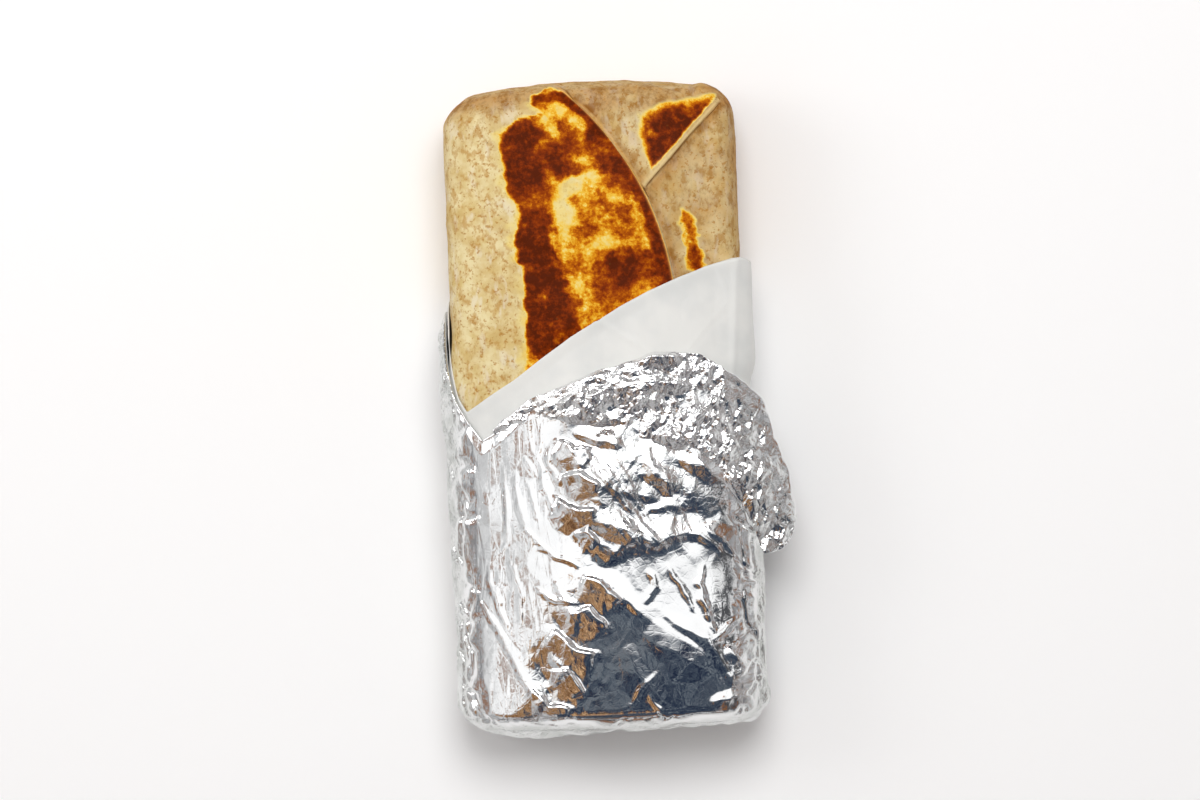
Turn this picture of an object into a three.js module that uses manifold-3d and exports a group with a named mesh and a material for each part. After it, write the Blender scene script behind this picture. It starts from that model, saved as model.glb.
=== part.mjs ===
// A griddled flour-tortilla burrito, half unwrapped from white paper and crumpled aluminium foil.
// It lies on its back: +Y runs along the burrito to its bare end, +X to the right, +Z up.
// It is modelled with the burrito's long axis at X = 0, then moved so that the origin is the
// centre of the underside of the whole thing's box. Millimetres.
import * as THREE from "three";
import { mergeVertices } from "three/addons/utils/BufferGeometryUtils.js";
import Module from "manifold-3d";

const wasm = await Module();
wasm.setup();

// Driving dimensions of the pressed burrito.
const burrito = {
  bareEnd: 99.4, // Y of the end that shows
  wrappedEnd: -97.2, // Y of the end inside the foil
  bareHalfWidth: 45.2,
  wrappedHalfWidth: 45.8,
  axisZ: 22, // height of the widest line of the section
  above: 22.4, // from there to the top
  below: 22.2, // from there to the underside, before it is pressed flat
  bareThinning: 1.8, // how much flatter the bare end is
  bareEndRadius: 11, // rounding of each end
  wrappedEndRadius: 4,
  endBulge: 1.2, // crown of the end faces
  squareness: 3.8, // superellipse power of the section
  cornerDroop: 2.6, // how far the left corner of the bare end falls back
  wrappedCornerLeft: 4.5, // how far each corner of the wrapped end falls back
  wrappedCornerRight: 2,
};

// The wrapped end slopes away from a ridge tip like a hip roof, with a front face and two sides.
const hip = {
  tip: new THREE.Vector2(-7, -50),
  frontSlope: 0.075,
  leftSlope: 0.13,
  leftReach: 24, // the left face levels off this far from the tip
  rightSlope: 0.046,
  rightReach: 50,
  levelsFrom: -12, // Y where the side faces start to die out
  levelAt: 34,
};

// The tortilla's laps on top: the outer lap ends on an arc, the end lap on a slanting fold.
const laps = {
  outerThickness: 2.2,
  endThickness: 1.8,
  arcRadius: 97,
  arcCentre: new THREE.Vector2(-71.9, 25.7),
  foldTip: new THREE.Vector2(16.4, 66.9), // where the end lap slips under the outer lap
  foldCorner: new THREE.Vector2(42.2, 94.2), // where it turns over the bare end
  shoulder: 0.955, // share of the half width where the laps have merged with the sides
  wallRun: 0.35, // run of the small wall at a lap's edge
};

// Layers of the wrapper, as distances out from the burrito's surface.
const layers = {
  paperInside: 0.4,
  paperOutside: 0.85,
  foilInside: 1.2,
  foilOutside: 1.9,
  collarInside: 1.45,
  collarOutside: 3.3,
};

// Mouth of each layer: [distance round the girth from the top centre line, Y of the edge].
const paperMouth = [
  [-120, 37], [-90, 36], [-66, 35], [-56, 30], [-50, 17], [-45, 5], [-41.5, 0.3], [-26, 9.6],
  [-8.4, 22], [7.3, 30.9], [16, 35], [26, 39], [34, 41.9], [45, 44.4], [54, 42.5], [66, 40], [90, 38],
];
const foilMouth = [
  [-120, 22], [-90, 27], [-66, 32], [-56, 28.4], [-50, 15.8], [-45, 4], [-41.5, -1], [-36, -8.6],
  [-31.4, -6], [-21.7, 1.9], [-11.6, 5.8], [-1.8, 9.7], [12.3, 14.5], [20, 15], [30, 13.6], [39.7, 8.6],
  [48, 2], [56, -5], [72, -6], [90, 6],
];

// The paper's right side stands off the tortilla by this much above the foil.
const paperFlare = 2.3;

// The folded-down collar of foil: each rib runs from its upper to its lower edge, as [X, Y, X, Y].
const collarRibs = [
  [-34, -6, -33.4, -8.2], [-22, 3, -20, -3.4], [-2, 10.9, 0, -7], [18, 16.6, 14, -11], [33, 15, 26, -17],
  [43, 8, 35, -23], [50, 0.5, 41, -29.5], [54, -12, 44.4, -36], [57.3, -24, 46.6, -42], [59.4, -36, 49, -47],
];
const collar = {
  leavesBodyAt: 37, // X where the ear lifts off the shoulder
  shoulderDrop: 1.6, // how far the shoulder there lies below the top
  fall: 0.45, // drop of the ear for each millimetre outwards
  cornerCut: 3.4, // rounding of the ear's lower corner
};

// Triangle waves that crease the foil: wavelength, depth, heading in degrees, lean along Z.
const creases = [
  { length: 31, depth: 0.5, heading: 24, lean: 0.4 },
  { length: 23, depth: 0.4, heading: 118, lean: -0.5 },
  { length: 15, depth: 0.25, heading: 66, lean: 0.9 },
];
const creaseLift = 0.6; // mean height of the creased foil over the smooth shell
const collarCreaseScale = 0.55; // the collar is crumpled about twice as finely

const restHeight = layers.foilOutside; // the burrito lies this far above the table inside the foil
const bareSagFrom = 46; // Y where the bare part starts to sag down to the table
const bareSagTo = 72;
const creaseFade = 9; // height over which creases fade out towards the flat underside

const girthSteps = 44;
const endSteps = 4;
const capRings = [0.45, 0.8];

const clamp = THREE.MathUtils.clamp;
const lerp = THREE.MathUtils.lerp;
const smooth = THREE.MathUtils.smoothstep;
const signedPower = (value, power) => Math.sign(value) * Math.abs(value) ** power;

// Values along a polyline of [position, value] pairs. A closed one repeats every `period`.
function valueAlong(points, position, period) {
  const last = points[points.length - 1];
  const first = points[0];
  const run = period ? [...points, [first[0] + period, first[1]]] : points;
  if (position < first[0]) position = period ? position + period : first[0];
  if (!period && position > last[0]) position = last[0];
  const next = Math.max(1, run.findIndex(([at]) => at >= position));
  const [a, b] = [run[next - 1], run[next]];
  return lerp(a[1], b[1], (position - a[0]) / (b[0] - a[0]));
}

const halfWidthAt = (y) => lerp(burrito.wrappedHalfWidth, burrito.bareHalfWidth, smooth(y, 0, 60));
const bareDropAt = (y) => burrito.bareThinning * smooth(y, 55, burrito.bareEnd);
const aboveAt = (y) => burrito.above - bareDropAt(y);
const floorAt = (y) => restHeight * (1 - smooth(y, bareSagFrom, bareSagTo));

// How far the top lies below its full height on the hip's faces.
function hipDrop(x, y) {
  const left = hip.leftSlope * clamp(hip.tip.x - x, 0, hip.leftReach);
  const right = hip.rightSlope * clamp(x - hip.tip.x, 0, hip.rightReach);
  const front = hip.frontSlope * Math.max(0, hip.tip.y - y);
  return Math.max(front, Math.max(left, right) * (1 - smooth(y, hip.levelsFrom, hip.levelAt)));
}

const radiusOfEnd = (end) => (end > 0 ? burrito.bareEndRadius : burrito.wrappedEndRadius);

// Places along the burrito: rounded end, straight rows, rounded end. `end` is -1, 0 or 1.
function endStations(end) {
  const y = (end > 0 ? burrito.bareEnd : burrito.wrappedEnd) - end * radiusOfEnd(end);
  const turns = Array.from({ length: endSteps }, (_, i) => ((i + 1) / endSteps) * (Math.PI / 2));
  const rounded = turns.map((turn) => ({ y, end, turn, cap: 1 }));
  const flat = [...capRings].reverse().map((cap) => ({ y, end, turn: Math.PI / 2, cap }));
  const outward = [...rounded, ...flat];
  return end > 0 ? outward : outward.reverse();
}
const straightStation = (y) => ({ y, end: 0, turn: 0, cap: 1 });

// The section at a station, grown outwards by `offset`.
function sectionAt({ y, end, turn, cap }, offset) {
  const reach = radiusOfEnd(end) + offset;
  const inset = radiusOfEnd(end) - reach * Math.cos(turn);
  return {
    y: y + end * (reach * Math.sin(turn) + burrito.endBulge * (1 - cap * cap)),
    width: (halfWidthAt(y) - inset) * cap,
    above: (aboveAt(y) - inset) * cap,
    below: (burrito.below - inset) * cap,
    floor: floorAt(y) - offset,
    rounding: cap,
  };
}

// A point of a section at a superellipse angle, counted from +X over the top.
function pointAtAngle(section, angle) {
  const power = 2 / burrito.squareness;
  const x = section.width * signedPower(Math.cos(angle), power);
  const lift = signedPower(Math.sin(angle), power);
  const above = section.above - hipDrop(x, section.y) * section.rounding;
  const z = burrito.axisZ + lift * (lift > 0 ? above : section.below);
  return new THREE.Vector3(x, section.y - droopAt(x, section.y), Math.max(z, section.floor));
}

// How far a point is drawn back towards -Y. The bare end's left corner is rounder than its right
// one, and both corners of the wrapped end are drawn the other way.
function droopAt(x, y) {
  const left = clamp(-x / burrito.bareHalfWidth, 0, 1);
  const outward = clamp(Math.abs(x) / burrito.wrappedHalfWidth, 0, 1) ** 8;
  const corner = x < 0 ? burrito.wrappedCornerLeft : burrito.wrappedCornerRight;
  const bare = burrito.cornerDroop * left ** 3 * smooth(y, 80, burrito.bareEnd);
  return bare - corner * outward * smooth(-y, 76, -burrito.wrappedEnd);
}

// Angles that share the girth of the middle section into equal steps, with the distance of each
// from the top centre line, positive towards +X.
function girthAngles(steps) {
  const section = sectionAt(straightStation(0), 0);
  const fine = 1440;
  const travel = [0];
  let last = pointAtAngle(section, Math.PI / 2);
  for (let i = 1; i <= fine; i++) {
    const point = pointAtAngle(section, Math.PI / 2 + (i / fine) * 2 * Math.PI);
    travel.push(travel[i - 1] + point.distanceTo(last));
    last = point;
  }
  const girth = travel[fine];
  return Array.from({ length: steps }, (_, k) => {
    const i = travel.findIndex((distance) => distance >= (k / steps) * girth);
    const distance = travel[i] > girth / 2 ? girth - travel[i] : -travel[i];
    return { angle: Math.PI / 2 + (i / fine) * 2 * Math.PI, distance, girth };
  });
}

// A closed body through rings of equal length, with a pole before the first and after the last.
function loft(rings, startPole, endPole) {
  const columns = rings[0].length;
  const points = [startPole, ...rings.flat(), endPole];
  const index = [];
  const at = (ring, column) => 1 + ring * columns + (column % columns);
  for (let c = 0; c < columns; c++) {
    index.push(0, at(0, c), at(0, c + 1));
    index.push(points.length - 1, at(rings.length - 1, c + 1), at(rings.length - 1, c));
    for (let r = 0; r < rings.length - 1; r++) {
      index.push(at(r, c), at(r + 1, c), at(r + 1, c + 1));
      index.push(at(r, c), at(r + 1, c + 1), at(r, c + 1));
    }
  }
  const geometry = new THREE.BufferGeometry().setFromPoints(points);
  geometry.setIndex(index);
  geometry.computeVertexNormals();
  return geometry;
}

// The pole that closes an end of the burrito, or of a layer round it.
function endPole(end, offset) {
  const y = end > 0 ? burrito.bareEnd : burrito.wrappedEnd;
  return new THREE.Vector3(0, y + end * (offset + burrito.endBulge), burrito.axisZ);
}

// X of the outer lap's edge, on its arc.
function outerLapEdge(y) {
  const rise = clamp(y - laps.arcCentre.y, -75, 75);
  return laps.arcCentre.x + Math.sqrt(laps.arcRadius ** 2 - rise ** 2);
}

// X of the end lap's folded edge.
function endLapEdge(y) {
  const along = (y - laps.foldTip.y) / (laps.foldCorner.y - laps.foldTip.y);
  return lerp(laps.foldTip.x, laps.foldCorner.x, along);
}

// One ring of the tortilla. It starts on the outer lap's edge, goes left and right round the body,
// and comes back over the right-hand panel and the end lap to the foot of that edge.
function tortillaRing(place) {
  const section = sectionAt(place, 0);
  const { width } = section;
  const wall = laps.wallRun / burrito.bareHalfWidth;
  const outer = clamp(outerLapEdge(section.y) / width, -0.5, 0.66);
  const { shoulder } = laps;
  const end = clamp(endLapEdge(section.y) / width, outer + 3 * wall, shoulder - 0.045);
  const hasEndLap = section.y >= laps.foldTip.y - 0.01;
  const pastCorner = section.y > laps.foldCorner.y;
  const panelDrop = laps.outerThickness + (pastCorner ? 0 : laps.endThickness);
  const endLapDrop = laps.outerThickness + (hasEndLap ? 0 : laps.endThickness);
  const topAngle = (share) => Math.acos(signedPower(share, burrito.squareness / 2));
  const column = (angle, drop) => {
    const point = pointAtAngle(section, angle);
    point.z -= drop * section.rounding;
    return point;
  };
  const topRun = (from, to, steps, drop) =>
    Array.from({ length: steps }, (_, i) => {
      const share = lerp(from, to, i / (steps - 1));
      return column(topAngle(share), drop * (1 - smooth(share, 0.72, shoulder)));
    });
  const fromLeft = topAngle(-shoulder);
  const toRight = 2 * Math.PI + topAngle(shoulder);
  const roundSteps = 24;
  const round = Array.from({ length: roundSteps - 1 }, (_, i) =>
    column(lerp(fromLeft, toRight, (i + 1) / roundSteps), 0),
  );
  return [
    ...topRun(outer, -shoulder, 11, 0),
    ...round,
    ...topRun(shoulder, end + wall, 5, panelDrop),
    ...topRun(end, outer + wall, 4, endLapDrop),
  ];
}

function tortillaGeometry() {
  const hidden = [-76, -63, -50, -37, -24, -12, 0];
  const shown = [12, 26, 36, 44, 51, 58, 62.5, 66.9, 70, 74, 79, 84, 88.2];
  const straight = [...hidden, ...shown];
  const places = [...endStations(-1), ...straight.map(straightStation), ...endStations(1)];
  return loft(places.map(tortillaRing), endPole(-1, 0), endPole(1, 0));
}

// How far a foil surface is pushed out at a point by its creases.
function creaseDepth(point, scale) {
  return creases.reduce((sum, { length, depth, heading, lean }) => {
    const turn = THREE.MathUtils.degToRad(heading);
    const travel = point.x * Math.cos(turn) + point.y * Math.sin(turn) + point.z * lean;
    const phase = THREE.MathUtils.euclideanModulo(travel / (length * scale), 1);
    return sum + depth * (4 * Math.abs(phase - 0.5) - 1);
  }, 0);
}

// A layer of wrapper: up the outside from the closed end to the mouth, and back down the inside.
function wrapperGeometry(mouth, inside, outside, rows, { creased = false, flare = 0 }) {
  const columns = girthAngles(girthSteps);
  const girth = columns[0].girth;
  const closedEnd = endStations(-1);
  const firstRow = burrito.wrappedEnd + burrito.wrappedEndRadius;
  const placesOf = ({ distance }) => {
    const top = valueAlong(mouth, distance, girth);
    return [
      ...closedEnd,
      ...Array.from({ length: rows }, (_, i) => straightStation(lerp(firstRow, top, i / (rows - 1)))),
    ];
  };
  const surface = (offset, crease) => {
    const places = columns.map(placesOf);
    return places[0].map((_, row) =>
      columns.map(({ angle }, c) => {
        const point = pointAtAngle(sectionAt(places[c][row], offset), angle);
        point.x += flare * smooth(point.x, 38, 45) * smooth(point.y, 9, 20) * smooth(point.z, 6, 20);
        if (!crease) return point;
        const fade = smooth(point.z, 1, creaseFade) * (1 - underCollar(point.x, point.y));
        const outward = new THREE.Vector3(point.x / 46, 0, (point.z - burrito.axisZ) / 22).normalize();
        return point.addScaledVector(outward, fade * Math.max(0, creaseLift + creaseDepth(point, 1)));
      }),
    );
  };
  const rings = [...surface(outside, creased), ...surface(inside, false).reverse()];
  return loft(rings, endPole(-1, outside), endPole(-1, inside));
}

// How far a plan position is covered by the collar, which lies on smooth foil.
function underCollar(x, y) {
  const lowerEdge = collarRibs.map(([, , ribX, ribY]) => [ribX, ribY]);
  const edge = valueAlong(lowerEdge, x);
  return smooth(y, edge - 4, edge);
}

// Height of the collar above the table at a plan position.
function collarHeight(x, y, offset) {
  const section = sectionAt(straightStation(y), offset);
  const share = clamp(Math.abs(x) / section.width, 0, 0.999);
  const profile = (1 - share ** burrito.squareness) ** (1 / burrito.squareness);
  const onBody = burrito.axisZ + (section.above - hipDrop(x, y)) * profile;
  const level = burrito.axisZ + section.above - hipDrop(collar.leavesBodyAt, y) - collar.shoulderDrop;
  const drooping = level - collar.fall * (x - collar.leavesBodyAt);
  return x > collar.leavesBodyAt ? Math.max(onBody, drooping) : onBody;
}

// The collar as a closed slab whose far corner, the ear, stands clear of the body.
function collarGeometry() {
  const ribSteps = 7;
  const stretch = 3; // columns for each gap between ribs
  const ribCount = collarRibs.length - 1;
  const columns = Array.from({ length: ribCount * stretch + 1 }, (_, i) => i / stretch);
  const ribAt = (i) => {
    const from = Math.min(Math.floor(i), ribCount - 1);
    return collarRibs[from].map((value, k) => lerp(value, collarRibs[from + 1][k], i - from));
  };
  const plan = (i, across) => {
    const [x0, y0, x1, y1] = ribAt(i);
    const nearEar = smooth(i, ribCount - 1.2, ribCount);
    const bow = collar.cornerCut * nearEar * Math.sin(Math.PI * across);
    return [lerp(x0, x1, across) + bow * 0.55, lerp(y0, y1, across) - bow];
  };
  const side = (offset, crease) =>
    columns.map((i) =>
      Array.from({ length: ribSteps }, (_, j) => {
        const [x, y] = plan(i, j / (ribSteps - 1));
        const point = new THREE.Vector3(x, y, collarHeight(x, y, offset));
        if (crease) point.z += creaseDepth(point, collarCreaseScale);
        return point;
      }),
    );
  const lower = side(layers.collarInside, false);
  const upper = side(layers.collarOutside, true);
  const rings = columns.map((_, i) => [...lower[i], ...upper[i].toReversed()]);
  const centreOf = (ring) =>
    ring.reduce((sum, point) => sum.add(point), new THREE.Vector3()).divideScalar(ring.length);
  return loft(rings, centreOf(rings[0]), centreOf(rings[rings.length - 1]));
}

// A closed geometry as a manifold-3d solid, and back.
function solidOf(geometry) {
  const bare = new THREE.BufferGeometry();
  bare.setAttribute("position", geometry.getAttribute("position"));
  bare.setIndex(geometry.getIndex());
  const merged = mergeVertices(bare, 1e-4);
  return new wasm.Manifold(
    new wasm.Mesh({
      numProp: 3,
      vertProperties: new Float32Array(merged.getAttribute("position").array),
      triVerts: new Uint32Array(merged.getIndex().array),
    }),
  );
}

function geometryOf(solid) {
  const mesh = solid.getMesh();
  const geometry = new THREE.BufferGeometry();
  geometry.setAttribute("position", new THREE.BufferAttribute(mesh.vertProperties, 3));
  geometry.setIndex(new THREE.BufferAttribute(mesh.triVerts, 1));
  return welded(geometry, 0.02);
}

// The same surface with its shortest edges closed up.
function welded(geometry, distance) {
  const merged = mergeVertices(geometry, distance);
  const corners = [...merged.getIndex().array];
  const triangles = Array.from({ length: corners.length / 3 }, (_, i) => corners.slice(3 * i, 3 * i + 3));
  merged.setIndex(triangles.filter((triangle) => new Set(triangle).size === 3).flat());
  merged.computeVertexNormals();
  return merged;
}

function paperGeometry() {
  return wrapperGeometry(paperMouth, layers.paperInside, layers.paperOutside, 9, { flare: paperFlare });
}

function foilGeometry() {
  const { foilInside, foilOutside } = layers;
  const pouch = solidOf(wrapperGeometry(foilMouth, foilInside, foilOutside, 14, { creased: true }));
  return geometryOf(pouch.add(solidOf(collarGeometry())));
}

const materials = {
  tortilla: new THREE.MeshStandardMaterial({ color: 0xd9b97a, roughness: 0.75, metalness: 0 }),
  paper: new THREE.MeshStandardMaterial({ color: 0xe6e6e3, roughness: 0.7, metalness: 0 }),
  foil: new THREE.MeshStandardMaterial({ color: 0xdfe0e2, roughness: 0.22, metalness: 1 }),
};

function named(name, geometry, material) {
  const mesh = new THREE.Mesh(geometry, material);
  mesh.name = name;
  return mesh;
}

const group = new THREE.Group();
group.add(
  named("burrito", tortillaGeometry(), materials.tortilla),
  named("paper_liner", paperGeometry(), materials.paper),
  named("foil_wrap", foilGeometry(), materials.foil),
);

const box = new THREE.Box3().setFromObject(group);
const middle = box.getCenter(new THREE.Vector3());
group.position.set(-middle.x, -middle.y, -box.min.z);

export default group;
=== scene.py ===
import math

import bpy
import numpy as np
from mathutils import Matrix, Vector


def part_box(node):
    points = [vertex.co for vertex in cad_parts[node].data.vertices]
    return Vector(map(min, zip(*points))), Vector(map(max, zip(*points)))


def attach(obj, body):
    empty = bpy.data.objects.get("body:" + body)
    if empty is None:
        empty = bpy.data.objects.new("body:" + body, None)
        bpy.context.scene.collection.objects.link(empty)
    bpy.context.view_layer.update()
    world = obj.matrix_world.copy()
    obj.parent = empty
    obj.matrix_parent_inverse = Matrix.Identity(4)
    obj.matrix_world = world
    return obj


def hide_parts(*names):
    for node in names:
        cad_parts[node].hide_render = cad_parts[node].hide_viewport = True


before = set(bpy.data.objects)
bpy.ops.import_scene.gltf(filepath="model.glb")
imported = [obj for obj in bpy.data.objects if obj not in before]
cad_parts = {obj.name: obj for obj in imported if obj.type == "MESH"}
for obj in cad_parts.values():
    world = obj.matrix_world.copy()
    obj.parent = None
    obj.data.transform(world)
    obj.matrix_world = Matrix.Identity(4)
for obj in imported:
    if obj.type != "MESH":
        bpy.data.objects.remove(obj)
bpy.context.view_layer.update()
print("frame loaded")

# The pressed roll that every layer follows, in millimetres. Its long axis is x = 0, y runs to the
# bare end, and the table is z = 0.
roll = {
    "bareEnd": 99.4,
    "wrappedEnd": -97.2,
    "bareHalfWidth": 45.2,
    "wrappedHalfWidth": 45.8,
    "axisZ": 22.0,
    "above": 22.4,
    "below": 22.2,
    "bareThinning": 1.8,
    "thinningFrom": 55,
    "narrowing": (0, 60),
    "bareEndRadius": 11.0,
    "wrappedEndRadius": 4.0,
    "endBulge": 1.2,
    "squareness": 3.8,
    "cornerDroop": 2.6,
    "droopFrom": 80,
    "wrappedCornerLeft": 4.5,
    "wrappedCornerRight": 2.0,
    "wrappedCornerFrom": 76,
    "wrappedCornerPower": 8,
    "restHeight": 1.9,
    "sagFrom": 46.0,
    "sagTo": 72.0,
    "hipTip": (-7.0, -50.0),
    "hipFront": 0.075,
    "hipLeft": 0.13,
    "hipLeftReach": 24.0,
    "hipRight": 0.046,
    "hipRightReach": 50.0,
    "hipLevels": (-12.0, 34.0),
    "hipRounding": 0.9,
}

rollLow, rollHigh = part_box("burrito")
foilLow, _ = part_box("foil_wrap")
origin = np.array(
    [
        (rollLow.x + rollHigh.x) / 2,
        rollLow.y - (roll["wrappedEnd"] - roll["endBulge"]) / 1000,
        foilLow.z,
    ]
)


def ease(value, low, high):
    # 3t^2 - 2t^3, from 0 at low to 1 at high
    t = np.clip((value - low) / (high - low), 0, 1)
    return t * t * (3 - 2 * t)


def signedPower(value, power):
    # |value|^power, with the sign of the value
    return np.sign(value) * np.abs(value) ** power


def bump(value, centre, width):
    # exp(-((value - centre) / width)^2)
    return np.exp(-(((value - centre) / width) ** 2))


# Behind every noise: how many random numbers repeat, the primes that mix a corner's three indices,
# and a shift that keeps the lattice's own origin away from the roll.
lattice = {"count": 8192, "primes": (73856093, 19349663, 83492791), "shift": 500.5}


def latticeValues(cells, seed):
    # One fixed random number, -1 to 1, for each lattice corner.
    table = np.random.default_rng(seed).uniform(-1, 1, lattice["count"])
    a, b, c = (cells[..., k] * prime for k, prime in enumerate(lattice["primes"]))
    return table[(a ^ b ^ c) & (lattice["count"] - 1)]


def latticePlace(points, size):
    # The lattice cell each point is in, and how far into it the point lies, 0 to 1 on each axis.
    scaled = points / size + lattice["shift"]
    cell = np.floor(scaled).astype(np.int64)
    return cell, scaled - cell


def softNoise(points, size, seed):
    # Lattice values eased between the eight corners of a cube: soft lumps about `size` across.
    cell, part = latticePlace(points, size)
    part = part * part * (3 - 2 * part)
    total = np.zeros(points.shape[:-1])
    for corner in range(8):
        step = np.array([corner & 1, (corner >> 1) & 1, (corner >> 2) & 1])
        weight = np.prod(np.where(step, part, 1 - part), axis=-1)
        total += weight * latticeValues(cell + step, seed)
    return total


def noiseSum(points, *layers):
    # Sum of height * softNoise over layers given as height, size and seed.
    return sum(height * softNoise(points, size, seed) for height, size, seed in layers)


def turned(points, seed):
    # The points in a fixed random orientation, so that no crease runs along an axis.
    basis, _ = np.linalg.qr(np.random.default_rng(seed).normal(size=(3, 3)))
    return points @ basis.T


def facetNoise(points, size, seed):
    # Lattice values joined by flat tetrahedra: h = h0(1-f1) + h1(f1-f2) + h2(f2-f3) + h3 f3, with
    # f1 >= f2 >= f3 the sorted distances into the cell. On a surface it gives flat facets.
    corner, part = latticePlace(turned(points, seed), size)
    order = np.argsort(-part, axis=-1)
    falling = np.take_along_axis(part, order, axis=-1)
    total = latticeValues(corner, seed) * (1 - falling[..., 0])
    for k in range(3):
        axis = order[..., k : k + 1]
        np.put_along_axis(corner, axis, np.take_along_axis(corner, axis, axis=-1) + 1, axis=-1)
        after = falling[..., k + 1] if k < 2 else 0
        total += latticeValues(corner, seed) * (falling[..., k] - after)
    return total


def crumple(points, size, seed, warp=0.55):
    # Facets whose own lattice is bent by larger facets, so that the creases cross at all angles.
    shift = np.stack([facetNoise(points, size * 1.9, seed + k) for k in (11, 12, 13)], axis=-1)
    return facetNoise(points + shift * size * warp, size, seed)


def creaseLines(points, size, seed, width=0.16):
    # Thin raised lines where a bent facet field crosses zero: max(0, 1 - |field| / width).
    return np.maximum(0, 1 - np.abs(crumple(points, size, seed)) / width)


def halfWidthAt(y):
    # from the wrapped half width to the bare one, eased along y
    wrapped, bare = roll["wrappedHalfWidth"], roll["bareHalfWidth"]
    return wrapped + (bare - wrapped) * ease(y, *roll["narrowing"])


def aboveAt(y):
    # height over the widest line, a little less towards the bare end
    return roll["above"] - roll["bareThinning"] * ease(y, roll["thinningFrom"], roll["bareEnd"])


def hipDrop(x, y):
    # The wrapped end slopes from a ridge tip like a hip roof: the face that falls furthest counts,
    # slope * (distance from the tip towards -y, -x or +x). Between the front and the left face the
    # larger value is a rounded one, (a + b + sqrt((a - b)^2 + r^2) - r) / 2.
    tipX, tipY = roll["hipTip"]
    levelling = 1 - ease(y, *roll["hipLevels"])
    left = roll["hipLeft"] * np.clip(tipX - x, 0, roll["hipLeftReach"]) * levelling
    right = roll["hipRight"] * np.clip(x - tipX, 0, roll["hipRightReach"]) * levelling
    front = roll["hipFront"] * np.maximum(tipY - y, 0)
    rounding = roll["hipRounding"]
    ridge = (front + left + np.sqrt((front - left) ** 2 + rounding**2) - rounding) / 2
    return np.maximum(ridge, right)


def floorAt(y):
    # the wrapped part rests on its wrapper, and the bare part sags to the table
    return roll["restHeight"] * (1 - ease(y, roll["sagFrom"], roll["sagTo"]))


def radiusOfEnd(end):
    return np.where(end > 0, roll["bareEndRadius"], roll["wrappedEndRadius"])


# Rows are an array of y, end (-1, 0 or 1), turn round the end's edge, and cap, the share of the
# full section that is left on an end's face.
def endRows(end, steps, caps):
    # Rows of one end, from the last straight row out to the pole: turn 0 to 90 degrees, then caps.
    turn = np.concatenate([np.linspace(0, math.pi / 2, steps + 1)[1:], np.full(caps, math.pi / 2)])
    cap = np.concatenate([np.ones(steps), np.linspace(1, 0, caps + 2)[1:-1]])
    edge = roll["bareEnd"] if end > 0 else roll["wrappedEnd"]
    y = np.full(turn.shape, edge - end * radiusOfEnd(end))
    return np.stack([y, np.full(turn.shape, float(end)), turn, cap])


def straightRows(y):
    return np.stack([y, y * 0, y * 0, y * 0 + 1])


def sectionAt(rows, offset):
    # y, half width, height above and below the widest line, floor and cap of each row's section.
    y, end, turn, cap = rows
    radius = radiusOfEnd(end)
    reach = radius + offset
    inset = radius - reach * np.cos(turn)
    along = y + end * (reach * np.sin(turn) + roll["endBulge"] * (1 - cap**2))
    whole = (halfWidthAt(y), aboveAt(y), roll["below"])
    width, above, below = ((size - inset) * cap for size in whole)
    return along, width, above, below, floorAt(y) - offset, cap


def sectionPoints(section, angle):
    # x = w cos^(2/p), z = h sin^(2/p): a superellipse, pressed flat at the floor.
    y, width, above, below, floor, cap = section
    power = 2 / roll["squareness"]
    x = width * signedPower(np.cos(angle), power)
    lift = signedPower(np.sin(angle), power)
    z = roll["axisZ"] + lift * np.where(lift > 0, above - hipDrop(x, y) * cap, below)
    # the bare end's left corner droops by the cube of x, and both wrapped corners are rounded off
    left = np.clip(-x / roll["bareHalfWidth"], 0, 1)
    droop = roll["cornerDroop"] * left**3 * ease(y, roll["droopFrom"], roll["bareEnd"])
    side = np.where(x < 0, roll["wrappedCornerLeft"], roll["wrappedCornerRight"])
    share = np.clip(np.abs(x) / roll["wrappedHalfWidth"], 0, 1)
    rounding = side * share ** roll["wrappedCornerPower"]
    droop = droop - rounding * ease(-y, roll["wrappedCornerFrom"], -roll["wrappedEnd"])
    return np.stack([x, y - droop, np.maximum(z, floor)], axis=-1)


def shareToAngle(share):
    # Angle of the point of the top at x = share * half width.
    return np.arccos(signedPower(share, roll["squareness"] / 2))


def girthTable(samples):
    # Distance round the middle section from the top centre line against the superellipse angle.
    angle = np.linspace(math.pi / 2, 2.5 * math.pi, samples)
    points = sectionPoints(sectionAt(straightRows(np.zeros(samples)), 0), angle)
    travel = np.concatenate([[0], np.cumsum(np.linalg.norm(np.diff(points, axis=0), axis=1))])
    return angle, travel


girthAngle, girthTravel = girthTable(4001)
girth = girthTravel[-1]


def angleAtDistance(distance):
    # `distance` is positive towards +x, and the angle grows towards -x.
    return np.interp((-distance) % girth, girthTravel, girthAngle)


def surfaceNormals(points):
    # Cross product of the two grid directions; the columns close on themselves.
    alongRows = np.gradient(points, axis=0)
    alongColumns = (np.roll(points, -1, axis=1) - np.roll(points, 1, axis=1)) / 2
    normal = np.cross(alongRows, alongColumns)
    return normal / np.maximum(np.linalg.norm(normal, axis=-1, keepdims=True), 1e-9)


def addObject(name, data):
    made = bpy.data.objects.new(name, data)
    bpy.context.scene.collection.objects.link(made)
    return made


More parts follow.
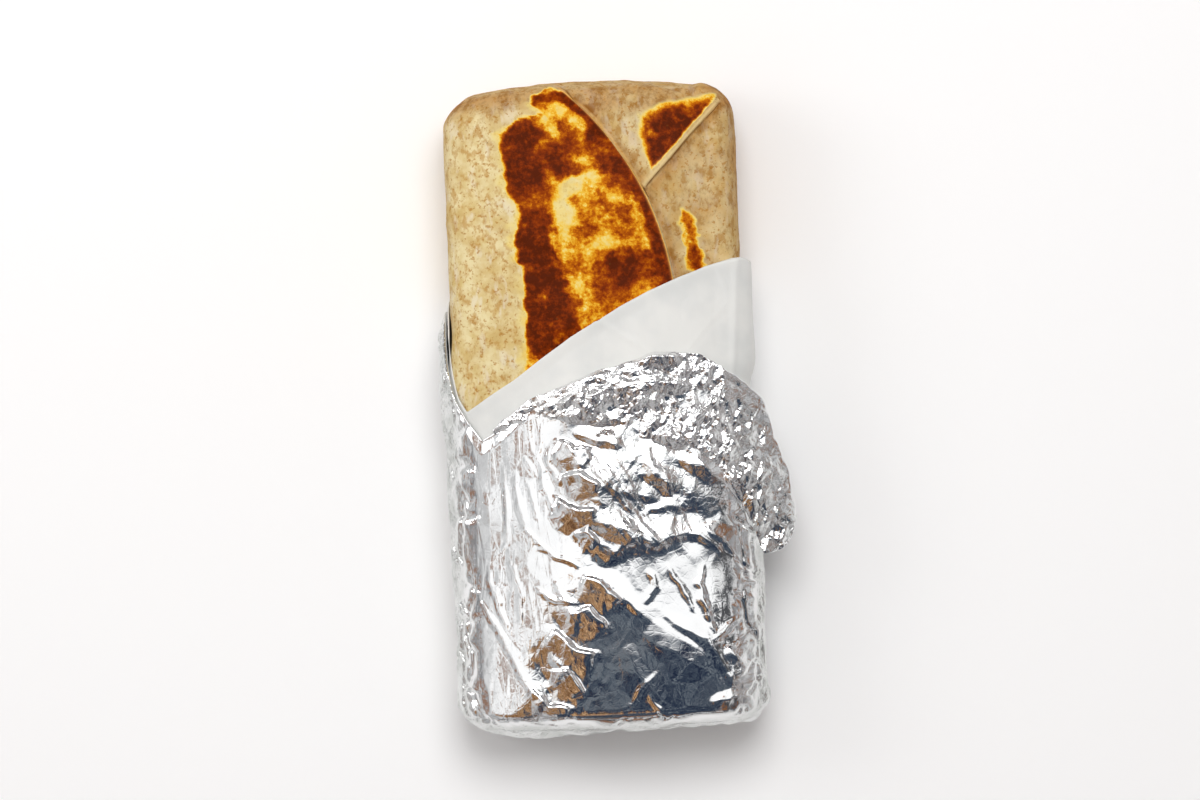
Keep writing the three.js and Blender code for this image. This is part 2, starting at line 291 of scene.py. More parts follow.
def makePiece(name, points, poles, attributes=None):
    # A closed skin over a grid of rows by columns (columns close on themselves), with a pole at
    # each end. Rows climb and columns turn so that the faces look outwards.
    rows, columns = points.shape[:2]
    vertices = np.concatenate([points.reshape(-1, 3), np.array(poles)]) / 1000 + origin
    index = np.arange(rows * columns).reshape(rows, columns)
    right = np.roll(index, -1, axis=1)
    quads = np.stack([index[:-1], index[1:], right[1:], right[:-1]], axis=-1).reshape(-1, 4)
    first, last = rows * columns, rows * columns + 1
    startFan = np.stack([np.full(columns, first), index[0], right[0]], axis=-1)
    endFan = np.stack([np.full(columns, last), right[-1], index[-1]], axis=-1)
    mesh = bpy.data.meshes.new(name)
    mesh.from_pydata(vertices.tolist(), [], quads.tolist() + startFan.tolist() + endFan.tolist())
    for key, values in (attributes or {}).items():
        field = mesh.attributes.new(key, "FLOAT", "POINT")
        whole = np.concatenate([values.reshape(-1), [values[0].mean(), values[-1].mean()]])
        field.data.foreach_set("value", whole.astype(np.float32))
    mesh.polygons.foreach_set("use_smooth", np.ones(len(mesh.polygons), bool))
    mesh.update()
    # the volume is positive where the faces look outwards
    corners = vertices[quads] - origin
    halves = [np.cross(corners[:, k], corners[:, k + 1]) for k in (1, 2)]
    volume = sum((corners[:, 0] * half).sum() / 6 for half in halves)
    print(name, round(volume * 1e6, 2), "ml,", len(quads) * 2 + columns * 2, "triangles")
    return addObject(name, mesh)


tortilla = {
    "outerThickness": 2.2,
    "endThickness": 1.8,
    "arcRadius": 97.0,
    "arcCentre": (-71.9, 25.7),
    "arcSpan": 75,
    "foldTip": (16.4, 66.9),
    "foldCorner": (42.2, 94.2),
    "shoulder": 0.955,
    "rimRadius": 0.9,
    "rimLift": 0.35,
    "rimLiftWidth": 3,
    "stepWall": 0.42,
    # columns across the outer lap, round the back, over the panel and over the end lap
    "columns": (132, 74, 50, 46),
    # relief as height, size and seed
    "lumps": ((0.45, 17, 1), (0.2, 7, 4)),
    "blisters": (0.13, 2.6, 2),
    "grain": (0.045, 1.1, 3),
    # noise for the toast, by the same numbers
    "bend": ((1.3, 5.2, 0), (0.95, 2.3, 1), (0.5, 1.05, 2)),
    "mottle": ((1, 3.6, 51), (0.8, 1.7, 52), (0.5, 0.9, 53)),
    "cloud": ((1, 4.6, 55), (0.7, 2.0, 56), (0.45, 1.0, 60)),
    "blotches": ((0.16, 8, 58), (0.14, 3, 59)),
    "underToast": ((1, 16, 61), (0.5, 6, 62), (0.25, 2.2, 63)),
    # squareness of the toasted patches, and how far they run together
    "patchPower": 2.6,
    "patchJoin": 1.1,
}


def outerLapEdge(y):
    # x of the outer lap's edge, a circle's arc
    centreX, centreY = tortilla["arcCentre"]
    rise = np.clip(y - centreY, -tortilla["arcSpan"], tortilla["arcSpan"])
    return centreX + np.sqrt(tortilla["arcRadius"] ** 2 - rise**2)


def endLapEdge(y):
    # x of the end lap's fold, a straight line from its tip to the corner
    (x0, y0), (x1, y1) = tortilla["foldTip"], tortilla["foldCorner"]
    return x0 + (x1 - x0) * (y - y0) / (y1 - y0)


def rimDrop(distance):
    # How far a lap's top falls at its rounded edge: r - sqrt(r^2 - (r - d)^2), less a slight lift.
    radius = tortilla["rimRadius"]
    inside = np.clip(radius - distance, 0, radius)
    lift = tortilla["rimLift"] * bump(distance, 0, tortilla["rimLiftWidth"])
    return radius - np.sqrt(radius**2 - inside**2) - lift


# Toasted patches of the shown side: centre x, y, half length along x, y, turn in degrees, level.
toastPatches = {
    "block": [
        (-20.2, 82.4, 6.8, 4.9, 10, 0.97), (-19.6, 87.6, 2.0, 2.6, -25, 0.84),
        (-19.9, 73.6, 6.4, 6.6, 8, 0.97), (-21.0, 68.6, 3.4, 2.2, 14, 0.9),
        (-14.2, 79.6, 4.0, 5.4, 12, 0.8), (-9.6, 77.0, 5.4, 4.6, -38, 0.95),
        (-5.6, 73.4, 3.4, 2.0, -20, 0.88),
    ],
    "neck": [(-18.2, 65.4, 4.4, 2.8, -30, 0.6), (-13.4, 67.4, 3.2, 1.8, 0, 0.56)],
    "column": [
        (-18.2, 58.6, 4.6, 4.6, 8, 0.84), (-18.6, 50.6, 5.6, 6.4, 10, 0.98),
        (-15.4, 42.6, 6.4, 6.6, 6, 1.0), (-15.6, 32.6, 6.6, 8.6, 4, 0.95),
        (-6.8, 32.6, 2.8, 1.9, 8, 0.72), (-13.6, 22.6, 8.6, 7.6, 10, 0.94),
    ],
    "lobes": [
        (-14.8, 95.2, 2.7, 1.7, 28, 0.78), (-12.0, 93.4, 1.8, 1.2, -30, 0.6),
        (-8.0, 96.4, 3.4, 1.7, -10, 0.86),
    ],
    "endStreak": [
        (-8.6, 88.0, 1.0, 3.4, 34, 0.84), (-5.8, 84.6, 2.4, 3.6, 16, 0.76),
        (-3.4, 80.0, 1.9, 3.0, 30, 0.7),
    ],
    "mass": [
        (2.6, 83.4, 3.6, 4.4, 22, 0.9), (4.8, 76.0, 4.6, 4.6, 10, 0.8),
        (0.6, 78.6, 2.4, 2.6, 0, 0.66), (8.8, 68.6, 4.2, 4.2, -20, 0.72),
        (3.8, 61.6, 4.6, 2.4, -10, 0.64), (-3.0, 54.4, 4.8, 2.4, 6, 0.74),
        (10.6, 58.4, 2.6, 3.0, 16, 0.66), (18.6, 52.0, 2.6, 6.0, 14, 0.86),
    ],
    "foot": [
        (8.8, 42.8, 5.4, 5.8, 6, 0.97), (1.0, 41.4, 3.0, 4.2, 10, 0.7),
        (18.2, 43.4, 4.8, 4.6, 10, 0.82), (1.6, 36.4, 1.6, 1.8, 0, 0.8),
        (6.4, 33.2, 7.0, 3.2, 24, 0.62),
    ],
}
# The right-hand panel's streak.
panelStreak = [
    (28.9, 58.0, 0.9, 1.3, 10, 0.5), (29.6, 54.2, 1.5, 1.7, 10, 0.62),
    (29.8, 50.8, 0.9, 1.8, 10, 0.46), (30.4, 46.8, 1.7, 3.2, 12, 0.7),
    (31.4, 42.4, 1.7, 2.4, 14, 0.74),
]
# Pale windows in the toast: the same numbers, with the share they take away.
palePatches = {
    "windows": [
        (-6.6, 68.2, 3.6, 2.8, 10, 0.86), (-9.4, 61.2, 3.0, 3.8, 14, 0.88),
        (-9.0, 55.2, 2.0, 3.2, 12, 0.6), (-1.2, 71.2, 1.6, 2.2, 10, 0.7),
    ],
    "pockets": [
        (-8.8, 92.8, 2.6, 1.9, -24, 0.78), (-12.8, 90.0, 2.2, 1.5, -30, 0.7),
        (-11.2, 85.6, 2.4, 1.4, -40, 0.52), (-4.6, 88.4, 1.4, 1.6, -40, 0.6),
        (-2.6, 83.4, 0.9, 2.0, 20, 0.5), (-3.4, 76.6, 2.6, 1.4, -10, 0.74),
    ],
    "eye": [(-13.4, 81.6, 1.5, 1.0, -10, 0.5)],
    "bands": [
        (-8.0, 48.4, 2.2, 6.0, -24, 0.22), (-4.8, 38.6, 3.4, 4.6, -16, 0.36),
        (-2.0, 30.4, 2.4, 4.0, 10, 0.26),
    ],
    "spots": [
        (6.5, 64.9, 1.8, 2.4, 20, 0.62), (0.9, 71.0, 1.3, 1.8, 10, 0.5),
        (1.4, 50.0, 3.0, 1.6, 0, 0.5), (7.6, 49.8, 2.6, 1.3, -20, 0.56),
    ],
    "arc": [(14.6, 56.2, 0.9, 4.6, 20, 0.42)],
}
# Left edge of the toasted ground as y, x, and the end lap's half moon as distance along the fold
# from its tip and height off the fold.
toastLeftEdge = [
    (8, -22.6), (36, -22.0), (44.4, -21.2), (46.2, -24.7), (53, -23.9), (60, -22.9), (66, -24.6),
    (68.5, -25.6), (76, -27.2), (85.4, -27.6), (87.2, -25.0), (89.8, -20.8), (90.8, -18.4),
    (91.4, -14.2), (92.8, -15.4), (94, -17.6), (97, -16.8), (99, -12),
]
moonOutline = [
    (5.2, 1.2), (8.2, 6.2), (11.9, 11.6), (16.3, 14.2), (19.5, 13.6), (22.9, 12.2), (27.6, 8.9),
    (32.1, 5.4), (36.6, 1.6),
]


def patchDistance(x, y, patch):
    # About how far a point lies outside a squared-off ellipse |u|^p + |v|^p = 1.
    cx, cy, rx, ry, turn, _ = patch
    angle = math.radians(turn)
    u = ((x - cx) * math.cos(angle) + (y - cy) * math.sin(angle)) / rx
    v = (-(x - cx) * math.sin(angle) + (y - cy) * math.cos(angle)) / ry
    power = tortilla["patchPower"]
    return ((np.abs(u) ** power + np.abs(v) ** power) ** (1 / power) - 1) * min(rx, ry)


def joinedPatches(x, y, groups, roughness, softness):
    # Patches run together: the soft minimum -k ln(sum exp(-d / k)) of their distances, roughened,
    # and the level of whichever patch is deepest there.
    join = tortilla["patchJoin"]
    total = np.full(x.shape, 1e-9)
    level = np.zeros(x.shape)
    for patch in [patch for group in groups for patch in group]:
        weight = np.exp(-np.clip(patchDistance(x, y, patch), -9, 20) / join)
        total += weight
        level += weight * patch[5]
    away = -join * np.log(total) + roughness
    return level / total * (1 - ease(away, -softness, softness))


def toastField(x, y):
    # 0 is plain tortilla, 0.25 yellow, 0.5 orange, 0.75 red-brown and 1 dark brown. Every outline
    # is bent by noise of three sizes before it is used.
    flat = np.stack([x, y, np.zeros(x.shape)], axis=-1)
    bends = [
        noiseSum(flat, *((height, size, first + step) for height, size, step in tortilla["bend"]))
        for first in (41, 44)
    ]
    wx, wy = x + bends[0], y + bends[1]
    mottle = noiseSum(flat, *tortilla["mottle"])
    cloud = noiseSum(flat, *tortilla["cloud"])
    edge = outerLapEdge(y) - x
    onOuter = edge > -0.3

    # the ground of the outer lap, from its left edge across to the lap's own edge
    edgeY, edgeX = zip(*toastLeftEdge)
    inside = x + 0.45 * bends[0] - np.interp(y + 0.3 * bends[1], edgeY, edgeX)
    ground = (0.43 + 0.13 * mottle) * ease(inside, -0.9, 1.1) * (1 - ease(wy, 96.4, 98.6))
    dark = joinedPatches(wx, wy, toastPatches.values(), 0.75 * mottle, 0.9)
    dark *= 1 - 0.34 * ease(cloud, 0.05, 1.0)
    field = np.maximum(ground, dark)
    bandWidth = 4.4 + 1.4 * softNoise(flat * [0, 1, 0], 7, 54)
    band = (0.86 + 0.1 * mottle) * (1 - ease(edge + bends[0], bandWidth - 0.9, bandWidth + 0.7))
    field = np.maximum(field, band * (1 - ease(y, 94.5, 97.5)))
    field *= 1 - joinedPatches(wx, wy, palePatches.values(), 0.5 * cloud, 1.5)
    field += 0.09 * mottle * ease(field, 0.15, 0.5)
    # a pale halo outside the left edge, and a paler cut edge
    halo = (0.13 + 0.05 * mottle) * (1 - ease(-inside + 1.4 * cloud, -0.5, 5.0)) * (y < 95)
    field = np.maximum(field * ease(inside, -1.1, 0.9), halo)
    outer = field * ease(edge, 0.15, 0.75)

    # the end lap's half moon, held off its folded edge
    along, off = foldPlace(x + 0.35 * bends[0], y + 0.35 * bends[1])
    at, height = zip(*moonOutline)
    past = off - np.interp(along, at, height) + 0.5 * mottle
    moon = (0.94 + 0.16 * mottle) * (1 - 0.42 * ease(cloud, 0.0, 0.9))
    moon *= ease(off, 1.6, 2.7) * (1 - ease(past, -3.4, 2.6))
    moon *= ease(along, 4.8, 6.4) * (1 - ease(along, 35.2, 37))
    outsideMoon = (0.12 + 0.05 * mottle) * (1 - ease(past + 1.4 * cloud, 0.4, 4.6)) * ease(off, 1, 2)
    moon = np.maximum(moon, outsideMoon * ease(along, 3, 8) * (1 - ease(along, 24, 34)))
    # the right-hand panel's streak
    streak = joinedPatches(wx, wy, [panelStreak], mottle, 1.5)
    streak = (1.15 * streak + 0.12 * mottle * (streak > 0.2)) * (0.98 - 0.3 * ease(cloud, 0, 0.8))
    other = np.where(off > -0.2, moon, streak * (off < -0.5))
    return np.where(onOuter, outer, other)


def foldPlace(x, y):
    # Distance along the end lap's fold from its tip, and distance off it towards the end lap.
    (x0, y0), (x1, y1) = tortilla["foldTip"], tortilla["foldCorner"]
    length = math.hypot(x1 - x0, y1 - y0)
    ux, uy = (x1 - x0) / length, (y1 - y0) / length
    return (x - x0) * ux + (y - y0) * uy, -(x - x0) * uy + (y - y0) * ux


def toneAndShadeField(x, y, normal):
    # How brown the plain tortilla is, 0 to 1, painted shade included: a sum of shares for the
    # right-hand panel, a painted shadow past each lap's edge, painted shade at the shoulder of the
    # bare end and on the sides that turn from straight up, less on the face of that end.
    flat = np.stack([x, y, np.zeros(x.shape)], axis=-1)
    edge = outerLapEdge(y) - x
    along, off = foldPlace(x, y)
    endFace = ease(normal[..., 1], 0.25, 0.7)
    beyond = (1 - ease(edge, -0.6, -0.1)) * (1 - endFace) + 0.35 * endFace
    tone = 0.44 * beyond * (1 - 0.2 * ease(off, 0, 3) * (1 - ease(y, 84, 92)))
    # painted shadow: browner bands on the panel just past the outer lap's edge and past the end lap's
    # fold
    tone += 0.32 * beyond * bump(edge, -0.6, 2.4) + 0.3 * beyond * bump(off, -0.9, 2.2) * (along > 2)
    # painted shade: browner towards the bare end, where its shoulder turns down
    tone += (0.46 + 0.3 * beyond) * ease(y + 2.0 * softNoise(flat, 9, 57) - 0.05 * x, 87.5, 98)
    # painted shade on the sides, by how far the skin turns from straight up
    tone += 0.24 * (1 - ease(normal[..., 2], 0.05, 0.8))
    facing = ease(normal[..., 1], 0.8, 0.96)
    blotches = noiseSum(flat, *tortilla["blotches"])
    return np.clip(tone * (1 - 0.4 * facing) + blotches * (1 - 0.6 * facing), 0, 1)


def coverLine(x):
    # y of the paper's edge over the top, from the left side to the right
    at = [-45, -41, -26, -8, 7, 16, 26, 34, 45]
    return np.interp(x, at, [5, 0, 9.6, 22, 30.9, 35, 39, 41.9, 44.4])


def tortillaRows():
    # the wrapped end, wide rows where the wrapper hides them, close rows up to the bare end
    hidden = np.linspace(roll["wrappedEnd"] + roll["wrappedEndRadius"], -12, 26)
    shown = np.linspace(-11.4, roll["bareEnd"] - roll["bareEndRadius"], 190)
    middle = straightRows(np.concatenate([hidden, shown]))
    return np.concatenate([endRows(-1, 8, 4)[:, ::-1], middle, endRows(1, 26, 30)], axis=1)


def tortillaSurface():
    # Superellipse sections whose top is lowered past each lap's edge, with relief along the skin's
    # normal. Columns follow the laps' edges, so that each edge is a clean step.
    section = sectionAt(tortillaRows()[..., None], 0)
    y, width, _, _, floor, cap = section
    wall = tortilla["stepWall"] / roll["bareHalfWidth"]
    outer = np.clip(outerLapEdge(y) / width, -0.5, 0.66)
    shoulder = tortilla["shoulder"]
    end = np.clip(endLapEdge(y) / width, outer + 3 * wall, shoulder - 0.045)
    fold, corner = tortilla["foldTip"][1], tortilla["foldCorner"][1]
    hasEnd = ease(y, fold - 0.4, fold + 0.4)
    pastCorner = ease(y, corner - 0.5, corner + 2.5)
    endDrop = tortilla["outerThickness"] + (1 - hasEnd) * tortilla["endThickness"]
    panelDrop = tortilla["outerThickness"] + (1 - pastCorner) * tortilla["endThickness"]

    # shares across the top: the outer lap from its edge to the left shoulder
    outerColumns, backColumns, panelColumns, lapColumns = tortilla["columns"]
    step = (np.linspace(0, 1, outerColumns) ** 1.25)[None]
    outerShare = outer + (-shoulder - outer) * step
    outerDrop = rimDrop((outer - outerShare) * width)
    # round the back, evenly in angle
    spread = np.linspace(0, 1, backColumns)[None, 1:-1]
    left, right = shareToAngle(-shoulder), 2 * math.pi + shareToAngle(shoulder)
    roundAngle = left + (right - left) * spread + np.zeros(y.shape)
    # the right panel from the right shoulder to the end lap's fold, then that lap to the edge
    panelStep = (np.linspace(0, 1, panelColumns) ** 0.8)[None]
    lapStep = (np.linspace(0, 1, lapColumns) ** 1.2)[None]
    panelShare = shoulder + (end + wall - shoulder) * panelStep
    lapShare = end + (outer + wall - end) * lapStep
    lapDrop = endDrop + rimDrop((end - lapShare) * width * 0.7) * hasEnd * (1 - pastCorner)
    panelFade, lapFade = (1 - ease(share, 0.72, shoulder) for share in (panelShare, lapShare))
    turns = [shareToAngle(share) for share in (outerShare, panelShare, lapShare)]
    angle = np.concatenate(
        [turns[0], roundAngle, 2 * math.pi + turns[1], 2 * math.pi + turns[2]], axis=1
    )
    drop = np.concatenate(
        [outerDrop, np.zeros(roundAngle.shape), panelDrop * panelFade, lapDrop * lapFade], axis=1
    )
    points = sectionPoints(section, angle)
    points[..., 2] -= drop * cap

    # relief: broad lumps of filling, blisters and a fine grain, along the skin's own normal
    normal = surfaceNormals(points)
    relief = noiseSum(points, *tortilla["lumps"], tortilla["grain"])
    height, size, seed = tortilla["blisters"]
    relief += height * np.maximum(0, softNoise(points, size, seed)) ** 1.5
    # tucked folds across the bare end: each is a step, where the leaf above it stands out and ends
    # in a groove
    endward = ease(points[..., 1], 93, 98.5)
    across, level = points[..., 0], points[..., 2]
    tucks = [
        level - (31 + 0.05 * across + 0.004 * across**2),
        level - (17 - 0.12 * across - 0.006 * across**2),
    ]
    leaves = sum(
        0.9 * ease(gap, 0, 0.7) * (1 - ease(gap, 5, 13)) - 0.8 * bump(gap, -0.3, 0.6)
        for gap in tucks
    )
    pleats = softNoise(points * [1.0, 0.4, 0.16], 3.4, 5)
    relief += endward * (pleats * 0.3 + leaves * (level < 40))
    # nothing stands out where the wrapper covers it, or where it bears on the table
    covered = 1 - ease(points[..., 1] - coverLine(points[..., 0]), -1, 5)
    relief = np.where(covered > 0, relief * (1 - covered) - 0.15 * covered, relief)
    bearing = ease(points[..., 2], floor + 0.1, floor + 2)
    points = points + normal * (relief * bearing)[..., None]
    points[..., 2] = np.maximum(points[..., 2], 0.05)

    x, y, z = points[..., 0], points[..., 1], points[..., 2]
    top = ease(normal[..., 2], 0.1, 0.5)
    under = ease(-normal[..., 2], 0.75, 0.97)
    flat = np.stack([x, y, z * 0], axis=-1)
    broad = noiseSum(flat, *tortilla["underToast"])
    underToast = np.clip(0.62 * broad + 0.3 - 1.1 * (1 - under), 0, 1)
    toast = toastField(x, y) * top + underToast * (1 - top)
    # folded rims stay pale
    edge = outerLapEdge(y) - x
    along, off = foldPlace(x, y)
    rimWidth = 0.6 + 0.7 * (1 - ease(along, 2, 16)) + 0.2 * softNoise(flat, 2.2, 64)
    foldRim = bump(off, 0.7, rimWidth) * (edge < -0.5) * top * (along > 0) * (along < 36)
    cutRim = bump(edge, 0.1, 0.5) * top
    # the browner tone, together with its painted shade and painted shadows
    tone = toneAndShadeField(x, y, normal)
    return points, {"toast": toast, "tone": tone, "foldRim": foldRim, "cutRim": cutRim}


def polePoint(end, offset):
    # the middle of an end's face
    y = roll["bareEnd"] if end > 0 else roll["wrappedEnd"]
    return [0, y + end * (offset + roll["endBulge"]), roll["axisZ"]]


tortillaPoints, tortillaFields = tortillaSurface()
tortillaPiece = makePiece(
    "tortilla_roll", tortillaPoints, [polePoint(-1, 0), polePoint(1, 0)], tortillaFields
)
print("tortilla made")


def mouthLine(points, distance):
    # y of a wrapper's edge at a distance round the girth; the line closes on itself.
    at = [point[0] for point in points]
    value = [point[1] for point in points]
    return np.interp(distance, at, value, period=girth)


def girthColumns(topReach, topStep, backStep):
    # Distances round the girth, close together over the top and wider apart round the back, with
    # their angles and the same distances as points for noise.
    back = (girth / 2 - topReach) / round((girth / 2 - topReach) / backStep)
    left = np.arange(-girth / 2, -topReach - back / 2, back)
    middle = np.arange(-topReach, topReach - topStep / 2, topStep)
    right = np.arange(topReach, girth / 2 - back / 2, back)
    distance = -np.concatenate([left, middle, right])
    line = np.stack([distance, distance * 0, distance * 0], axis=-1)
    return distance, angleAtDistance(distance)[None], line


def wrapperRows(mouth, endSteps, caps, straight, crowd=1.0):
    # The closed end, then straight rows shared out up to the mouth in every column.
    closed = np.repeat(endRows(-1, endSteps, caps)[:, ::-1, None], len(mouth), axis=2)
    start = roll["wrappedEnd"] + roll["wrappedEndRadius"]
    share = (np.linspace(0, 1, straight) ** crowd)[:, None]
    return np.concatenate([closed, straightRows(start + (mouth[None] - start) * share)], axis=1)


paper = {
    "mouth": [
        (-120, 37), (-90, 36), (-66, 35), (-56, 30), (-50, 17), (-45, 5), (-41.5, 0.3), (-26, 9.6),
        (-8.4, 22), (7.3, 30.9), (16, 35), (26, 39), (34, 41.9), (45, 44.4), (54, 42.5), (66, 40),
        (90, 38),
    ],
    "inside": 0.4,
    "outside": 0.75,
    "flare": 2.5,
    "wrinkle": 0.5,
    "edgeWander": 0.35,
    "creaseX": 41.2,
    # Columns: how far the close ones reach, their step and the back's. Rows of each face: round
    # the end's edge, over the end, straight ones, and how they crowd towards the mouth.
    "columns": (60, 0.55, 1.8),
    "outerRows": (8, 3, 130, 0.8),
    "innerRows": (8, 3, 24, 0.8),
}


def paperSurface():
    # An outer and an inner face, each the roll's section at its own offset, joined at the mouth.
    distance, angle, line = girthColumns(*paper["columns"])
    mouth = mouthLine(paper["mouth"], distance) + paper["edgeWander"] * softNoise(line, 7, 21)
    outside = wrapperRows(mouth, *paper["outerRows"])
    inside = wrapperRows(mouth, *paper["innerRows"])[:, ::-1]

    def shell(rows, offset):
        # One face, moved out along its normal by the flare, the lip and the waves.
        points = sectionPoints(sectionAt(rows, offset), angle)
        normal = surfaceNormals(points)
        x, y = points[..., 0], points[..., 1]
        # the right side stands off the tortilla and the front edge lifts a little
        flare = paper["flare"] * ease(x, 36, 46) * ease(y, 3, 14) * ease(points[..., 2], 6, 20)
        lip = 0.35 * ease(y - mouth[None], -5, 0) * ease(normal[..., 2], 0.3, 0.8)
        folds = crumple(points, 19, 22) * 0.6 + crumple(points, 8, 23) * 0.25
        lines = creaseLines(points * [1, 1, 0.6], 26, 24, 0.05) * 0.35
        upward = ease(normal[..., 2], 0.1, 0.4)
        creased = 0.5 * bump(x - 0.05 * (y - 20), paper["creaseX"], 0.8) * upward
        shown = ease(y, -20, 4) * ease(points[..., 2], 3, 9)
        wave = (paper["wrinkle"] * (folds + lines) + creased) * shown
        out = flare + lip + np.maximum(wave, -0.25)
        points = points + normal * out[..., None]
        points[..., 2] = np.maximum(points[..., 2], roll["restHeight"] - offset)
        return points

    return np.concatenate([shell(outside, paper["outside"]), shell(inside, paper["inside"])])


paperPiece = makePiece(
    "paper_sleeve",
    paperSurface(),
    [polePoint(-1, paper["outside"]), polePoint(-1, paper["inside"])],
)
print("paper made")

foil = {
    "mouth": [
        (-120, 22), (-90, 27), (-66, 32), (-56, 28.4), (-50, 15.8), (-45, 4), (-41.5, -1),
        (-36, -8.6), (-31.4, -6), (-21.7, 1.9), (-11.6, 5.8), (-1.8, 9.7), (12.3, 14.5), (20, 15),
        (30, 13.6), (39.7, 8.6), (48, 2), (56, -5), (72, -6), (90, 6),
    ],
    "inside": 1.3,
    "outside": 1.75,
    "lift": 0.95,
    "sideLift": 0.7,
    "mouthWander": 0.5,
    # columns and rows as the paper's
    "columns": (58, 0.51, 0.92),
    "outerRows": (16, 28, 202),
    "innerRows": (6, 6, 12),
    # crumple size, its height where the foil is calm and where it is crushed, and seed
    "crumples": (
        (21.0, 0.26, 1.2, 71), (9.6, 0.06, 0.8, 72), (4.2, 0.018, 0.13, 73), (1.9, 0.008, 0.03, 74)
    ),
    "wrinkle": 0.16,
    "sideWrinkle": 0.6,
    "sideGroove": 1.1,
    "sideCrush": 0.9,
    # the closed end's crumple size, height and seed
    "endCrumples": ((16.0, 1.3, 95), (7.5, 0.8, 96), (3.4, 0.3, 97)),
    "foldBend": 0.8,
}

